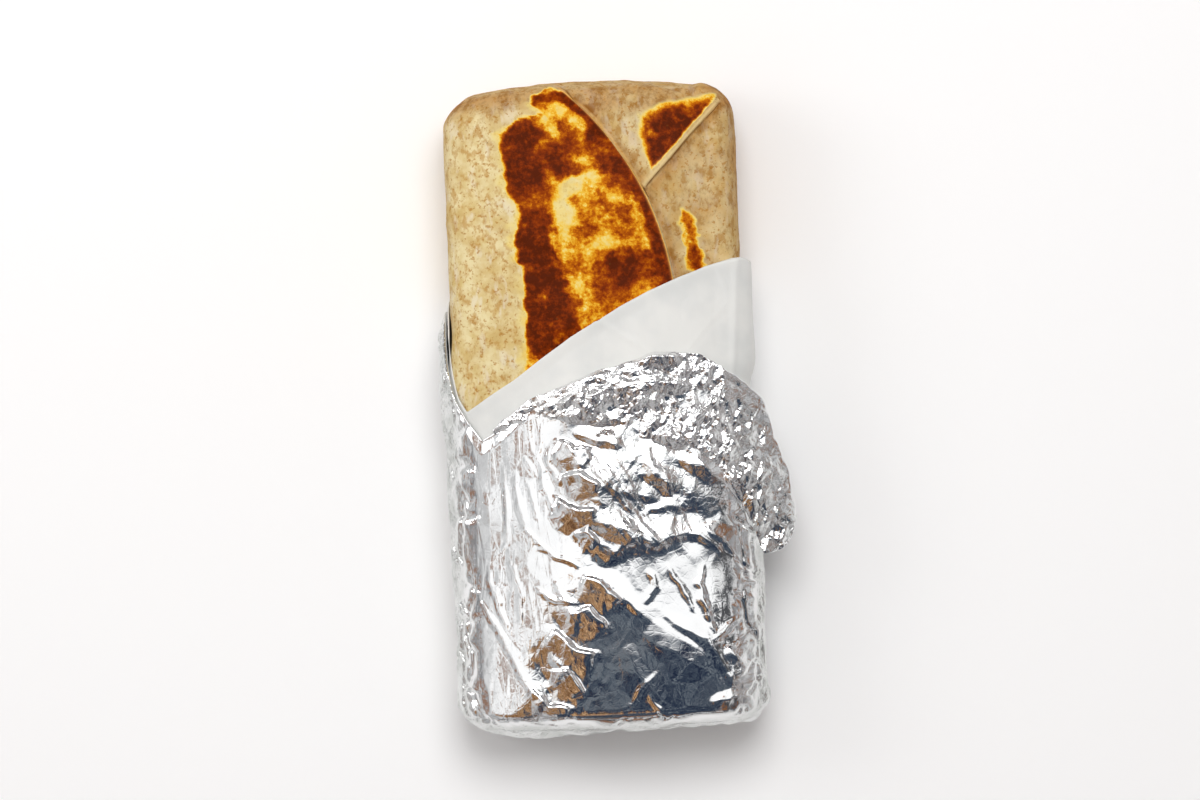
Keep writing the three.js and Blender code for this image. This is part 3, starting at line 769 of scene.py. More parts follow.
# Folds of the front: points along the ridge, height, and its reach to the left and to the right of
# the way it runs. A short reach is a steep face. A last number, where given, is how gently it
# fades at its ends.
foilFolds = {
    "brownWall": [
        ([(-3.4, -8), (-1.6, -16), (-1.6, -25), (-3.0, -33), (-4.0, -40), (-3.2, -47)], 0.5, 20, 3),
    ],
    "wallLeaves": [
        ([(-13, -9.8), (-8.8, -12.8), (-3.4, -12.6)], 1.4, 0.9, 8.4, 0.35),
        ([(-12.4, -21), (-7.2, -19.8), (-1.4, -23.8)], 1.5, 0.9, 8.0, 0.35),
        ([(-13.8, -27.4), (-8.6, -31.2), (-3.2, -31)], 1.4, 0.9, 8.6, 0.35),
        ([(-9.6, -38.8), (-6.4, -37.6), (-2, -42)], 1.1, 0.9, 6.8),
    ],
    "ledges": [
        ([(-8, -7.6), (-3, -9.4), (4.6, -12)], 0.85, 5, 2.0),
        ([(16.4, -12.2), (20.6, -14.6), (24.6, -17.6)], 0.7, 4, 4.2),
        ([(23.4, -16), (30, -19.6), (37.2, -25)], 0.9, 3, 3.4),
    ],
    "longCreases": [
        ([(-6.4, -11.3), (-1.6, -19.8), (5.6, -28), (12.5, -37.6), (18, -44)], 0.5, 1.5, 1.7),
        ([(-1.4, -15.2), (3.4, -22.4), (9.6, -29.6), (15.2, -37)], 0.42, 1.5, 1.5),
    ],
    "blades": [
        ([(3.4, -15.4), (6.2, -20), (9.2, -26.8)], 0.8, 6, 3.2),
        ([(7.2, -14.8), (13.0, -17.6), (17.8, -21.8), (20.8, -27.2)], 1.0, 8, 4.4),
        ([(5.2, -26.4), (10.4, -27.2), (17.2, -29.0)], 0.5, 4, 2.0),
        ([(13.2, -31.8), (20, -31.6), (26.4, -31.0)], 0.5, 4, 1.8),
        ([(-3.4, -35.2), (3.4, -36.6), (11.4, -40.4)], 0.95, 6, 5.2),
    ],
    "nightBand": [
        ([(-0.8, -47.6), (4.8, -43.2), (11.6, -41.2), (16.6, -43.6)], 1.0, 8, 3.4),
        ([(15.6, -43.2), (19.8, -40.6), (25, -39.9), (29.6, -41.4), (34.4, -45.2)], 0.8, 7, 2.3),
        ([(30.3, -38.8), (36.3, -42.8), (39.8, -48.4)], 0.5, 5, 1.7),
    ],
    "kneeCreases": [
        ([(-16, -10.9), (-16.6, -17.6), (-13.7, -24.2)], 0.34, 1.3, 1.2),
        ([(-11.1, -18.6), (-13.7, -24.2)], 0.3, 1.2, 1.2),
    ],
    "veins": [
        ([(-23.8, -13.5), (-21.2, -21)], 0.18, 1.1, 1.0),
        ([(-19.8, -14.6), (-17.9, -24.4), (-15.8, -31)], 0.25, 1.4, 1.2),
        ([(-23.4, -22), (-22, -27.6), (-20.6, -33.6)], 0.2, 1.1, 1.0),
        ([(-27.6, -18.7), (-25.7, -27.4), (-24.4, -35), (-23.0, -43.6)], 0.22, 1.3, 1.2),
        ([(-24.6, -35.8), (-20.7, -40.9), (-17.6, -43.4)], 0.27, 1.3, 1.1),
        ([(-21.4, -42.6), (-14.6, -45.6), (-9.0, -49)], 0.34, 1.5, 1.2),
        ([(-31.4, -15), (-30, -30), (-31.6, -44)], 0.2, 1.6, 1.4),
        ([(-29.6, -47), (-26.6, -56), (-27.4, -66)], 0.2, 1.5, 1.3),
    ],
    "leftHems": [
        ([(-39.4, -58), (-33.4, -69), (-28.4, -79), (-22.8, -92)], 0.42, 2.2, 1.8),
        ([(-36.4, -50), (-33, -62), (-30.2, -70)], 0.3, 1.8, 1.5),
    ],
    "barbs": [
        ([(-21.6, -54.6), (-16.2, -58.4), (-9.6, -59.2)], 0.45, 1.4, 1.5),
        ([(-16.8, -52.8), (-12.9, -58.6)], 0.36, 1.2, 1.3),
    ],
    "ridgeLips": [
        ([(-7.2, -50.6), (-0.4, -53.6), (5.2, -59.8), (9.0, -63.6)], 0.45, 4.5, 2.0),
        ([(16.4, -64.6), (23, -69), (29.6, -72.6), (33.6, -80.6), (37.8, -87.8)], 0.4, 4.5, 2.2),
    ],
    "strings": [
        ([(18.2, -49.6), (22.6, -55.4), (25.6, -63.6)], 0.34, 1.5, 1.3),
        ([(29.4, -50), (27.2, -55.4), (30.3, -63.8), (31.4, -71.2)], 0.5, 1.6, 1.9),
        ([(12.4, -50.5), (14.6, -56), (11.6, -60.4)], 0.36, 1.4, 1.4),
    ],
    "corner": [
        ([(39, -66.4), (35, -70), (31.6, -73)], 0.5, 1.6, 1.6),
        ([(35.6, -75.6), (38.8, -79.4), (39.6, -85)], 0.9, 3.2, 3.4),
        ([(30, -92.6), (36.4, -90.6), (41.6, -92.4)], 0.8, 2.4, 2.8),
    ],
    "panel": [
        ([(10, -70), (19, -76), (30, -82)], 0.34, 9, 8),
        ([(4, -74), (8, -82), (16, -90)], 0.24, 7, 7),
        ([(14, -82.4), (9, -87.6), (5.2, -92.2)], 0.14, 1.1, 1.3),
        ([(11.2, -89.6), (13.4, -93), (15.8, -96)], 0.26, 1.2, 1.3),
    ],
    "amberLeaves": [
        ([(-7.5, -51.6), (-2.2, -53.8), (3.6, -59.8)], 1.1, 0.9, 9.0, 0.3),
        ([(-10.8, -62.4), (-7, -61.4), (-1.2, -67.6)], 0.95, 0.9, 7.6, 0.3),
        ([(-17.2, -68), (-11.4, -73.6), (-5.2, -74.6)], 1.2, 0.9, 9.4, 0.3),
        ([(-19, -80.8), (-14.2, -80.2), (-9, -86.8)], 0.9, 0.9, 7.2, 0.3),
        ([(-25, -85.6), (-19.4, -90.6), (-13.4, -91.6)], 0.9, 0.9, 6.4, 0.3),
    ],
    "fringe": [
        ([(-12.6, -61), (-10.4, -66), (-12.8, -71)], 0.4, 2.4, 2.6),
        ([(-18.6, -75.4), (-15.2, -80.6), (-19.8, -86)], 0.6, 2.2, 2.6),
        ([(-23.4, -84), (-20.4, -89), (-24.6, -94)], 0.6, 2.0, 2.4),
    ],
}

# Folds of the closed end face, in x and z, where its four corners are tucked in.
endFolds = {
    "tuckHighRight": ([(43, 36), (30, 29), (15, 24)], 1.2, 8, 2.4),
    "tuckLowRight": ([(43, 8), (31, 14), (17, 21)], 1.0, 2.4, 7),
    "tuckHighLeft": ([(-43, 34), (-29, 29), (-13, 23)], 1.1, 2.4, 8),
    "tuckLowLeft": ([(-42, 9), (-30, 13), (-18, 20)], 1.1, 7, 2.4),
    "seam": ([(-15, 23), (0, 21), (17, 24)], 0.8, 5, 1.8),
}


def foldHeight(x, y, points, height, reachLeft, reachRight, fading=0.6):
    # height * (1 - distance / reach) off a broken line, where the reach turns from the left side's
    # to the right side's round the line's ends. Height and reach both shrink towards the ends, as
    # sin^fading.
    nearest = np.full(x.shape, 1e9)
    share = np.zeros(x.shape)
    sideways = np.zeros(x.shape)
    runs = [math.dist(a, b) for a, b in zip(points, points[1:])]
    travelled = 0.0
    for (x0, y0), (x1, y1), run in zip(points, points[1:], runs):
        tx, ty = (x1 - x0) / run, (y1 - y0) / run
        along = np.clip((x - x0) * tx + (y - y0) * ty, 0, run)
        dx, dy = x - x0 - along * tx, y - y0 - along * ty
        away = np.hypot(dx, dy)
        closer = away < nearest
        sideways = np.where(closer, dy * tx - dx * ty, sideways)
        share = np.where(closer, (travelled + along) / sum(runs), share)
        nearest = np.where(closer, away, nearest)
        travelled += run
    leftness = 0.5 + 0.5 * sideways / np.maximum(nearest, 1e-6)
    reach = reachRight + (reachLeft - reachRight) * leftness
    taper = 0.2 + 0.8 * np.sin(math.pi * np.clip(share, 0, 1)) ** fading
    return height * taper * np.maximum(0, 1 - nearest / (reach * (0.3 + 0.7 * taper)))


def crushedShare(x, y):
    # 1 where the front is crushed: under the collar, in the bottom corners and along the hip's
    # left ridge. 0 where it lies in calm panels.
    middle = 1 - ease(np.hypot((x - 13) / 29, (y + 22) / 28), 0.62, 1.05)
    corner = 1 - ease(np.hypot((x - 41) / 8, (y + 84) / 13), 0.5, 1.1)
    tipX, tipY = roll["hipTip"]
    ridge = tipX - 0.42 * (tipY - y)
    fringe = bump(x, ridge + 1.5, 6.4) * ease(tipY - y, 2, 8)
    return np.maximum(np.maximum(middle, 0.75 * corner), 0.8 * fringe)


def foilRelief(points, normal):
    # Sum of crumples of four sizes, the front's folds, thin wrinkles and the closed end's tucks,
    # each by its share of calm or crushed, upward or sideways foil.
    x, y = points[..., 0], points[..., 1]
    top = ease(normal[..., 2], 0.35, 0.8)
    sideways = 1 - ease(normal[..., 2], 0.6, 0.97)
    crushed = np.maximum(crushedShare(x, y), foil["sideCrush"] * sideways)
    relief = np.zeros(x.shape)
    for size, calmHeight, crushedHeight, seed in foil["crumples"]:
        height = calmHeight + (crushedHeight - calmHeight) * crushed
        relief += height * crumple(points, size, seed)
    # folds of the front, along lines bent by noise
    bend = foil["foldBend"]
    bentX = x + noiseSum(points, (bend, 4.2, 91), (0.4 * bend, 1.7, 92))
    bentY = y + noiseSum(points, (bend, 4.2, 93), (0.4 * bend, 1.7, 94))
    for fold in [fold for family in foilFolds.values() for fold in family]:
        relief += top * foldHeight(bentX, bentY, *fold)
    # thin wrinkles: long ones down the left half, crossing ones elsewhere
    drawn = points * [1.0, 0.16, 1.0]
    leftHalf = 1 - ease(x, -16, -6)
    long = creaseLines(drawn, 5.2, 79, 0.16) + 0.6 * creaseLines(drawn, 3.1, 80, 0.2)
    cross = creaseLines(points, 13, 75, 0.08) + 0.8 * creaseLines(points, 7, 76, 0.12)
    cross = (0.2 + 0.8 * crushed) * (1 - 0.6 * leftHalf) * cross
    relief += foil["wrinkle"] * top * (0.5 * leftHalf * long + cross)
    side = points * [1.0, 0.36, 1.0]
    wrinkles = crumple(side, 3.4, 77) + 0.6 * crumple(side, 1.7, 78)
    endward = ease(-normal[..., 1], 0.35, 0.85)
    beside = 1 - ease(normal[..., 2], 0.6, 0.95)
    relief += foil["sideWrinkle"] * beside * (1 - endward) * wrinkles
    grooves = creaseLines(points, 11, 87, 0.15) + 0.7 * creaseLines(points * [1, 0.5, 1], 6, 88, 0.15)
    relief -= foil["sideGroove"] * (1 - ease(normal[..., 2], 0.7, 0.97)) * grooves
    # the closed end, crushed flat over its tucked corners
    crush = sum(foldHeight(x, points[..., 2], *fold) for fold in endFolds.values()) - 0.4
    for size, height, seed in foil["endCrumples"]:
        crush += height * crumple(points, size, seed)
    return relief * (1 - 0.6 * endward) + endward * crush


def foilSurface():
    # The roll's section at the foil's offset, moved out along its normal by the relief, and a
    # smooth inner face joined to it at the mouth.
    distance, angle, line = girthColumns(*foil["columns"])
    wander = foil["mouthWander"] * softNoise(line, 5, 31) * ease(np.abs(distance), 40, 52)
    mouth = mouthLine(foil["mouth"], distance) + wander
    outside = wrapperRows(mouth, *foil["outerRows"])
    inside = wrapperRows(mouth, *foil["innerRows"])[:, ::-1]
    smooth = sectionPoints(sectionAt(outside, foil["outside"]), angle)
    normal = surfaceNormals(smooth)
    relief = foilRelief(smooth, normal)
    # flat where it bears on the table, quieter at the lip
    lift = foil["sideLift"] + (foil["lift"] - foil["sideLift"]) * ease(normal[..., 2], 0.2, 0.7)
    fade = ease(smooth[..., 2], 0.6, 8) * (0.35 + 0.65 * ease(mouth[None] - smooth[..., 1], 0, 5))
    outer = smooth + normal * (fade * np.maximum(lift + relief, -0.25))[..., None]
    outer[..., 2] = np.maximum(outer[..., 2], 0)
    inner = sectionPoints(sectionAt(inside, foil["inside"]), angle)
    x, y = smooth[..., 0], smooth[..., 1]
    beside = 1 - ease(normal[..., 2], 0.4, 0.93)
    crinkle = np.maximum(0.06 + 0.3 * crushedShare(x, y), 0.85 * beside)
    drawn = np.maximum(1 - ease(x, -22, -10), beside * ease(y, -97, -90))
    # the sides' share of painted shade, by how far the foil turns from straight up
    fields = {"crinkle": crinkle, "drawn": drawn, "shadedSide": beside}
    within = np.full(inner.shape[:2], 0.4)
    fields = {key: np.concatenate([field, within]) for key, field in fields.items()}
    return np.concatenate([outer, inner]), fields


foilPoints, foilFields = foilSurface()
foilPoles = [polePoint(-1, foil["outside"] + 0.6), polePoint(-1, foil["inside"])]
foilPiece = makePiece("foil_pouch", foilPoints, foilPoles, foilFields)
print("foil made")

# The collar: each rib runs from its upper to its lower edge, as x, y, x, y.
collar = {
    "ribs": [
        (-34, -6, -33.4, -8.2), (-22, 3, -20, -3.4), (-2, 10.9, 0, -7), (18, 16.6, 14, -11),
        (33, 15, 26, -17), (43, 8, 35, -23), (50, 0.5, 41, -29.5), (54, -12, 44.4, -36),
        (57.3, -24, 46.6, -42), (59.4, -36, 49, -47),
    ],
    # rows along it, and columns over its upper and its lower face
    "rows": 396,
    "columns": (176, 58),
    "leavesRollAt": 37.0,
    "fall": 0.45,
    "shoulderDrop": 1.6,
    "cornerCut": 3.4,
    "inside": 1.9,
    "outside": 2.7,
    "puff": 0.7,
    # crumple size, height, change of height where it hangs down, and seed
    "crumples": (
        (13.0, 1.0, 0.9, 84), (6.0, 0.95, 1.1, 81), (2.9, 1.0, -0.3, 82), (1.4, 0.38, -0.6, 83)
    ),
    "edgeWander": 1.2,
}
# Larger flat faces in the collar's crumple, as folds in x and y.
collarFolds = {
    "nightFace": ([(9.6, 14.6), (16.6, 17.0), (25.6, 16.6)], 1.9, 2.0, 6.6),
    "warmFace": ([(8.6, 7.4), (17.6, 7.8), (28.4, 5.2)], 1.2, 2.0, 5.0),
    "greyFace": ([(-12, 6.4), (-4, 9.2), (3.6, 10.4)], 0.9, 1.6, 3.6),
}


def rollTop(x, y, offset):
    # Height of the roll's top at x, y: h (1 - |x/w|^p)^(1/p).
    power = roll["squareness"]
    share = np.clip(np.abs(x) / (halfWidthAt(y) + offset), 0, 0.9995)
    return roll["axisZ"] + (aboveAt(y) + offset - hipDrop(x, y)) * (1 - share**power) ** (1 / power)


def collarHeight(x, y, offset):
    # On the roll it lies on it; past the shoulder it falls away in a straight slope.
    onRoll = rollTop(x, y, offset)
    leaves = collar["leavesRollAt"]
    level = roll["axisZ"] + aboveAt(y) + offset - hipDrop(leaves, y) - collar["shoulderDrop"]
    drooping = level - collar["fall"] * (x - leaves)
    past = ease(x, leaves - 2, leaves + 3)
    return onRoll + past * np.maximum(drooping - onRoll, 0)


def collarSide(along, across, offset, upper):
    # One face of the collar: ribs swept from its left tip to the ear, shares across each rib.
    ribs = np.array(collar["ribs"], float)
    knots = np.arange(len(ribs))
    smoothing = np.hanning(31) / np.hanning(31).sum()

    def smoothed(values):
        # A rib's number along the collar, joined by straight lines and then run together.
        joined = np.pad(np.interp(along, knots, values), 15, mode="edge")
        return np.convolve(joined, smoothing, "valid")

    x0, y0, x1, y1 = (smoothed(values)[:, None] for values in ribs.T)
    line = np.stack([along * 11, along * 0, along * 0], axis=-1)
    upperWander, lowerWander = (
        collar["edgeWander"] * noiseSum(line, (1, 6, seed), (0.7, 2.2, seed + 1))[:, None]
        for seed in (51, 53)
    )
    length = np.hypot(x1 - x0, y1 - y0)
    start, stop = upperWander / length, 1 + lowerWander / length
    share = start + (stop - start) * across
    nearEar = ease(along, len(ribs) - 2.2, len(ribs) - 1)[:, None]
    bow = collar["cornerCut"] * nearEar * np.sin(math.pi * across)
    x = x0 + (x1 - x0) * share + bow * 0.55
    y = y0 + (y1 - y0) * share - bow
    points = np.stack([x, y, collarHeight(x, y, offset)], axis=-1)
    thin = np.sin(math.pi * across) ** 0.5
    calmEar = 1 - 0.3 * ease(x + 0.4 * y, 35, 42)
    hangs = ease(x, 36, 43)
    relief = np.zeros(x.shape)
    for size, height, change, seed in collar["crumples"]:
        relief += height * (1 + change * hangs) * crumple(points, size, seed)
    bendX, bendY = (points[..., k] + 0.5 * softNoise(points, 3.2, 97 + k) for k in (0, 1))
    faces = sum(foldHeight(bendX, bendY, *fold) for fold in collarFolds.values())
    relief = relief * (1 - 0.6 * np.minimum(faces, 1))
    if upper:
        settle = 0.75 * ease(across, 0.72, 1.0) * (1 - nearEar)
        points[..., 2] += thin * (relief * calmEar + collar["puff"]) - settle
        points[..., 2] += faces * ease(across, 0, 0.05)
    else:
        points[..., 2] += ease(x, 44, 50) * thin * (relief * 0.8 * calmEar + 0.35)
    return points


def collarSurface():
    # The upper face from rib start to rib end and the lower face back again. The columns run
    # backwards, so that the faces look outwards.
    along = np.linspace(0, len(collar["ribs"]) - 1, collar["rows"])
    over, under = collar["columns"]
    upper = collarSide(along, np.linspace(0, 1, over)[None], collar["outside"], True)
    lower = collarSide(along, np.linspace(1, 0, under)[None], collar["inside"], False)
    return np.concatenate([upper, lower], axis=1)[:, ::-1]


collarPoints = collarSurface()
collarX = collarPoints[..., 0]
collarFields = {
    "crinkle": 0.85 - 0.6 * ease(collarX, 36, 44),
    "drawn": collarX * 0,
    # painted shade on the ear, greying it where it hangs down past the shoulder
    "shadedSide": 0.3 * ease(collarX, 38, 46),
}
collarPoles = [collarPoints[0].mean(axis=0), collarPoints[-1].mean(axis=0)]
collarPiece = makePiece("foil_collar", collarPoints, collarPoles, collarFields)
print("collar made")


def display(red, green, blue):
    # A colour as it looks on a screen, as linear light: c / 12.92 or ((c + 0.055) / 1.055)^2.4.
    return tuple(
        c / 12.92 if c <= 0.04045 else ((c + 0.055) / 1.055) ** 2.4 for c in (red, green, blue)
    ) + (1,)


def plug(tree, value, socket):
    # A signal is linked to the socket; anything else becomes the socket's own value.
    if isinstance(value, Signal):
        tree.links.new(value.socket, socket)
    else:
        socket.default_value = value


class Signal:
    # What comes out of a node. Sums and products with it become math nodes.
    def __init__(self, tree, socket):
        self.tree = tree
        self.socket = socket

    def math(self, operation, other):
        made = self.tree.nodes.new("ShaderNodeMath")
        made.operation = operation
        plug(self.tree, self, made.inputs[0])
        plug(self.tree, other, made.inputs[1])
        return Signal(self.tree, made.outputs[0])

    def __add__(self, other):
        return self.math("ADD", other)

    def __mul__(self, other):
        return self.math("MULTIPLY", other)

    def __truediv__(self, other):
        return self.math("DIVIDE", other)

    def eased(self, low, high, outLow=0.0, outHigh=1.0):
        # 3t^2 - 2t^3, from outLow at low to outHigh at high
        made = self.tree.nodes.new("ShaderNodeMapRange")
        made.interpolation_type = "SMOOTHSTEP"
        for socket, value in zip(made.inputs, (self, low, high, outLow, outHigh)):
            plug(self.tree, value, socket)
        return Signal(self.tree, made.outputs[0])


bumpHeight = 0.0004  # metres, the same for every material


class Recipe:
    # A material or world under construction: nodes by kind, linked by what is fed to them.
    def __init__(self, tree):
        self.tree = tree
        self.tree.nodes.clear()

    def node(self, kind, settings=None, **inputs):
        # Input names have _ for a space. Gives the node's outputs by name.
        made = self.tree.nodes.new(kind)
        for key, value in (settings or {}).items():
            setattr(made, key, value)
        for key, value in inputs.items():
            plug(self.tree, value, made.inputs[key.replace("_", " ")])
        return {socket.name: Signal(self.tree, socket) for socket in made.outputs}

    def first(self, kind, **inputs):
        return next(iter(self.node(kind, **inputs).values()))

    def mix(self, share, under, over):
        # under * (1 - share) + over * share
        made = self.tree.nodes.new("ShaderNodeMix")
        made.data_type = "RGBA"
        for index, value in ((0, share), (6, under), (7, over)):
            plug(self.tree, value, made.inputs[index])
        return Signal(self.tree, made.outputs[2])

    def layered(self, ground, layers):
        # Each layer's colour laid over the last by its share.
        for share, colour in layers:
            ground = self.mix(share, ground, colour)
        return ground

    def ramp(self, factor, stops):
        # Colours at their positions, joined by straight lines.
        made = self.tree.nodes.new("ShaderNodeValToRGB")
        elements = made.color_ramp.elements
        while len(elements) > 1:
            elements.remove(elements[0])
        elements[0].position, elements[0].color = stops[0]
        for position, colour in stops[1:]:
            elements.new(position).color = colour
        plug(self.tree, factor, made.inputs[0])
        return Signal(self.tree, made.outputs[0])

    def noise(self, at, scale, detail=2.0, roughness=0.5, distortion=0.0):
        shape = dict(Scale=scale, Detail=detail, Roughness=roughness, Distortion=distortion)
        return self.first("ShaderNodeTexNoise", Vector=at, **shape)

    def cells(self, at, scale, feature="F1"):
        return self.node("ShaderNodeTexVoronoi", {"feature": feature}, Vector=at, Scale=scale)

    def attribute(self, name):
        return self.node("ShaderNodeAttribute", {"attribute_name": name})["Fac"]

    def stretched(self, at, *scale):
        return self.first("ShaderNodeMapping", Vector=at, Scale=scale)

    def bumped(self, height, strength):
        return self.first("ShaderNodeBump", Height=height, Strength=strength, Distance=bumpHeight)

    def finish(self, **inputs):
        shader = self.first("ShaderNodeBsdfPrincipled", **inputs)
        self.node("ShaderNodeOutputMaterial", Surface=shader)


def newMaterial(name):
    material = bpy.data.materials.new(name)
    material.use_nodes = True
    return material, Recipe(material.node_tree)


# The tortilla's colours as they look on a screen, and the toast's from cream to dark brown.
tortillaColours = {
    "cream": (0.905, 0.845, 0.655),
    "sand": (0.83, 0.725, 0.48),
    "blotch": (0.75, 0.575, 0.31),
    "chalk": (0.91, 0.865, 0.75),
    "freckle": (0.70, 0.50, 0.22),
    # tan and brown also serve as painted shade and painted shadow on the tortilla
    "tan": (0.70, 0.50, 0.26),
    "brown": (0.55, 0.35, 0.13),
    "foldRim": (0.92, 0.83, 0.61),
    "cutRim": (0.90, 0.68, 0.38),
    "fleck": (0.38, 0.24, 0.09),
}
toastColours = {
    0.0: (0.92, 0.87, 0.69),
    0.11: (0.93, 0.85, 0.53),
    0.22: (0.93, 0.76, 0.27),
    0.34: (0.88, 0.60, 0.10),
    0.48: (0.76, 0.41, 0.03),
    0.62: (0.62, 0.28, 0.015),
    0.76: (0.52, 0.19, 0.01),
    0.90: (0.42, 0.145, 0.01),
    1.0: (0.34, 0.115, 0.01),
}


def tortillaMaterial():
    # Plain tortilla, then the browner parts and their painted shade, the toast, the pale rims and the
    # bran flecks.
    material, make = newMaterial("griddled_tortilla")
    at = make.node("ShaderNodeTexCoord")["Object"]
    shades = {key: display(*colour) for key, colour in tortillaColours.items()}
    toast = make.attribute("toast")
    cloudy = make.noise(at, 120, 4, 0.62).eased(0.36, 0.66)
    patchy = make.noise(make.stretched(at, 1.2, 0.8, 1.2), 290, 4, 0.66)
    chalky = make.noise(make.stretched(at, 1.4, 0.6, 1), 170, 3, 0.55, 0.3)
    freckled = make.noise(at, 820, 3, 0.6)
    # the toast is broken up by two sizes of noise before its ramp
    stir = make.noise(at, 900, 4, 0.7) * 0.8 + make.noise(at, 400, 4, 0.65) * 0.84 + -0.82
    griddled = make.ramp(
        toast + stir * toast.eased(0.06, 0.34),
        [(level, display(*colour)) for level, colour in toastColours.items()],
    )
    # a fleck is the middle of a cell, of a size and a chance that the cell's own colour gives
    cells = make.cells(at, 360.0)
    chance, size, _ = make.node("ShaderNodeSeparateColor", Color=cells["Color"]).values()
    fleck = cells["Distance"].eased(size * 0.11 + 0.05, 0.02) * chance.eased(0.70, 0.72)
    layers = [
        (patchy.eased(0.50, 0.64) * 0.72, shades["blotch"]),
        (chalky.eased(0.53, 0.66) * 0.7, shades["chalk"]),
        (freckled.eased(0.56, 0.65) * 0.75, shades["freckle"]),
        # browner tone, with painted shade on the sides and painted shadows past the laps' edges
        (make.attribute("tone"), make.mix(patchy.eased(0.40, 0.60), shades["tan"], shades["brown"])),
        (toast.eased(0.02, 0.2), griddled),
        (make.attribute("foldRim") * 0.7, shades["foldRim"]),
        (make.attribute("cutRim") * 0.75, shades["cutRim"]),
        (fleck * 0.6, shades["fleck"]),
    ]
    make.finish(
        Base_Color=make.layered(make.mix(cloudy, shades["cream"], shades["sand"]), layers),
        Roughness=toast.eased(0.2, 0.9, 0.68, 0.5),
        Normal=make.bumped(make.noise(at, 900, 4, 0.6) * 0.5 + make.noise(at, 330, 3) * 0.8, 0.45),
        Specular_IOR_Level=0.035,
    )
    return material


def paperMaterial():
    # Matt white, a little cloudy, with fibres drawn out along the roll.
    material, make = newMaterial("white_food_paper")
    at = make.node("ShaderNodeTexCoord")["Object"]
    cloudy = make.noise(at, 60, 3, 0.55).eased(0.35, 0.7)
    fibre = make.noise(make.stretched(at, 1, 0.35, 1), 1500, 3, 0.6)
    make.finish(
        Base_Color=make.mix(cloudy, display(0.90, 0.90, 0.885), display(0.855, 0.86, 0.85)),
        Roughness=fibre.eased(0.3, 0.7, 0.5, 0.62),
        Normal=make.bumped(fibre * 0.3 + make.noise(at, 140, 3), 0.3),
        Specular_IOR_Level=0.3,
    )
    return material


def foilMaterial():
    # Bright metal, greyer by a share carried on the sides and the hanging ear: painted shade for the
    # shadowed floor those faces mirror. Its thin creases are noise and the edges of two cell
    # patterns, one of them drawn out along the roll.
    material, make = newMaterial("crumpled_foil")
    at = make.node("ShaderNodeTexCoord")["Object"]
    crinkle = make.attribute("crinkle")
    rub = make.noise(at, 45, 3, 0.6)
    bright = make.mix(rub.eased(0.4, 0.7), display(0.965, 0.967, 0.97), display(0.935, 0.938, 0.94))
    # painted shade: the base colour turns grey on the sides, broken up by noise
    sideShade = make.noise(at, 150, 3, 0.6).eased(0.38, 0.62, 0.5, 1.0) * make.attribute("shadedSide")
    long = make.cells(make.stretched(at, 1, 0.25, 1), 260.0, "DISTANCE_TO_EDGE")["Distance"]
    small = make.cells(at, 430.0, "DISTANCE_TO_EDGE")["Distance"]
    longLines = long.eased(0.0, 0.10) * make.attribute("drawn")
    smallLines = small.eased(0.0, 0.14) * crinkle
    height = make.noise(at, 760, 4, 0.65, 0.6) * crinkle + (longLines * 0.07 + smallLines * 0.34)
    make.finish(
        Base_Color=make.mix(sideShade, bright, display(0.80, 0.81, 0.80)),
        Roughness=rub.eased(0.35, 0.7, 0.055, 0.11),
        Normal=make.bumped(height, 0.5),
        Metallic=1.0,
    )
    return material


def finishPiece(piece, material, node):
    piece.data.materials.append(material)
    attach(piece, "root")
    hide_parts(node)


finishPiece(tortillaPiece, tortillaMaterial(), "burrito")
finishPiece(paperPiece, paperMaterial(), "paper_liner")
foilFinish = foilMaterial()
finishPiece(foilPiece, foilFinish, "foil_wrap")
finishPiece(collarPiece, foilFinish, "foil_wrap")
print("materials made")

studio = {
    "floorHalf": 1.6,
    "floorTone": 0.995,
    "distance": 1.7,
    "sensorWidth": 36,
    "frameWidth": 0.372,
    "aim": (-0.05, 2.3),
    "roll": -2.47,
    "focusHeight": 0.03,
    "cameraReach": (0.05, 20),
    "lampTarget": (0, 0, 0.03),
    # place, width and power of each lamp
    "lamps": {
        "overhead_softbox": ((0.05, 0.42, 1.1), 0.6, 7.2),
        "left_softbox": ((-0.8, 0.3, 0.7), 0.5, 1.6),
    },
}

# What the foil mirrors, in linear light. The ceiling and the two cloths are ramps.
mirrored = {
    "power": 1.0,
    "ceiling": [
        (0.0, (0.66, 0.66, 0.65, 1)),
        (0.25, (0.72, 0.72, 0.72, 1)),
        (0.55, (0.62, 0.62, 0.63, 1)),
        (0.78, (0.74, 0.74, 0.74, 1)),
        (0.92, (1.1, 1.1, 1.1, 1)),
        (1.0, (1.1, 1.1, 1.1, 1)),
    ],
    "blue": [
        (0.34, (0.004, 0.007, 0.028, 1)),
        (0.46, (0.016, 0.028, 0.056, 1)),
        (0.56, (0.085, 0.105, 0.135, 1)),
        (0.68, (0.26, 0.29, 0.31, 1)),
    ],
    "brown": [
        (0.44, (0.020, 0.014, 0.016, 1)),
        (0.495, (0.12, 0.045, 0.016, 1)),
        (0.545, (0.46, 0.19, 0.060, 1)),
        (0.61, (1.0, 0.70, 0.40, 1)),
    ],
    "dark": (0.020, 0.021, 0.027, 1),
    "low": (0.030, 0.031, 0.036, 1),
    "warm": (0.26, 0.115, 0.050, 1),
}


def makeFloor():
    half = studio["floorHalf"]
    mesh = bpy.data.meshes.new("table_top")
    corners = [(-half, -half, 0), (half, -half, 0), (half, half, 0), (-half, half, 0)]
    mesh.from_pydata(corners, [], [(0, 1, 2, 3)])
    material, make = newMaterial("pale_table")
    tone = studio["floorTone"]
    make.finish(Base_Color=(tone, tone, tone, 1), Roughness=0.9, Specular_IOR_Level=0.1)
    mesh.materials.append(material)
    floor = addObject("table_top", mesh)


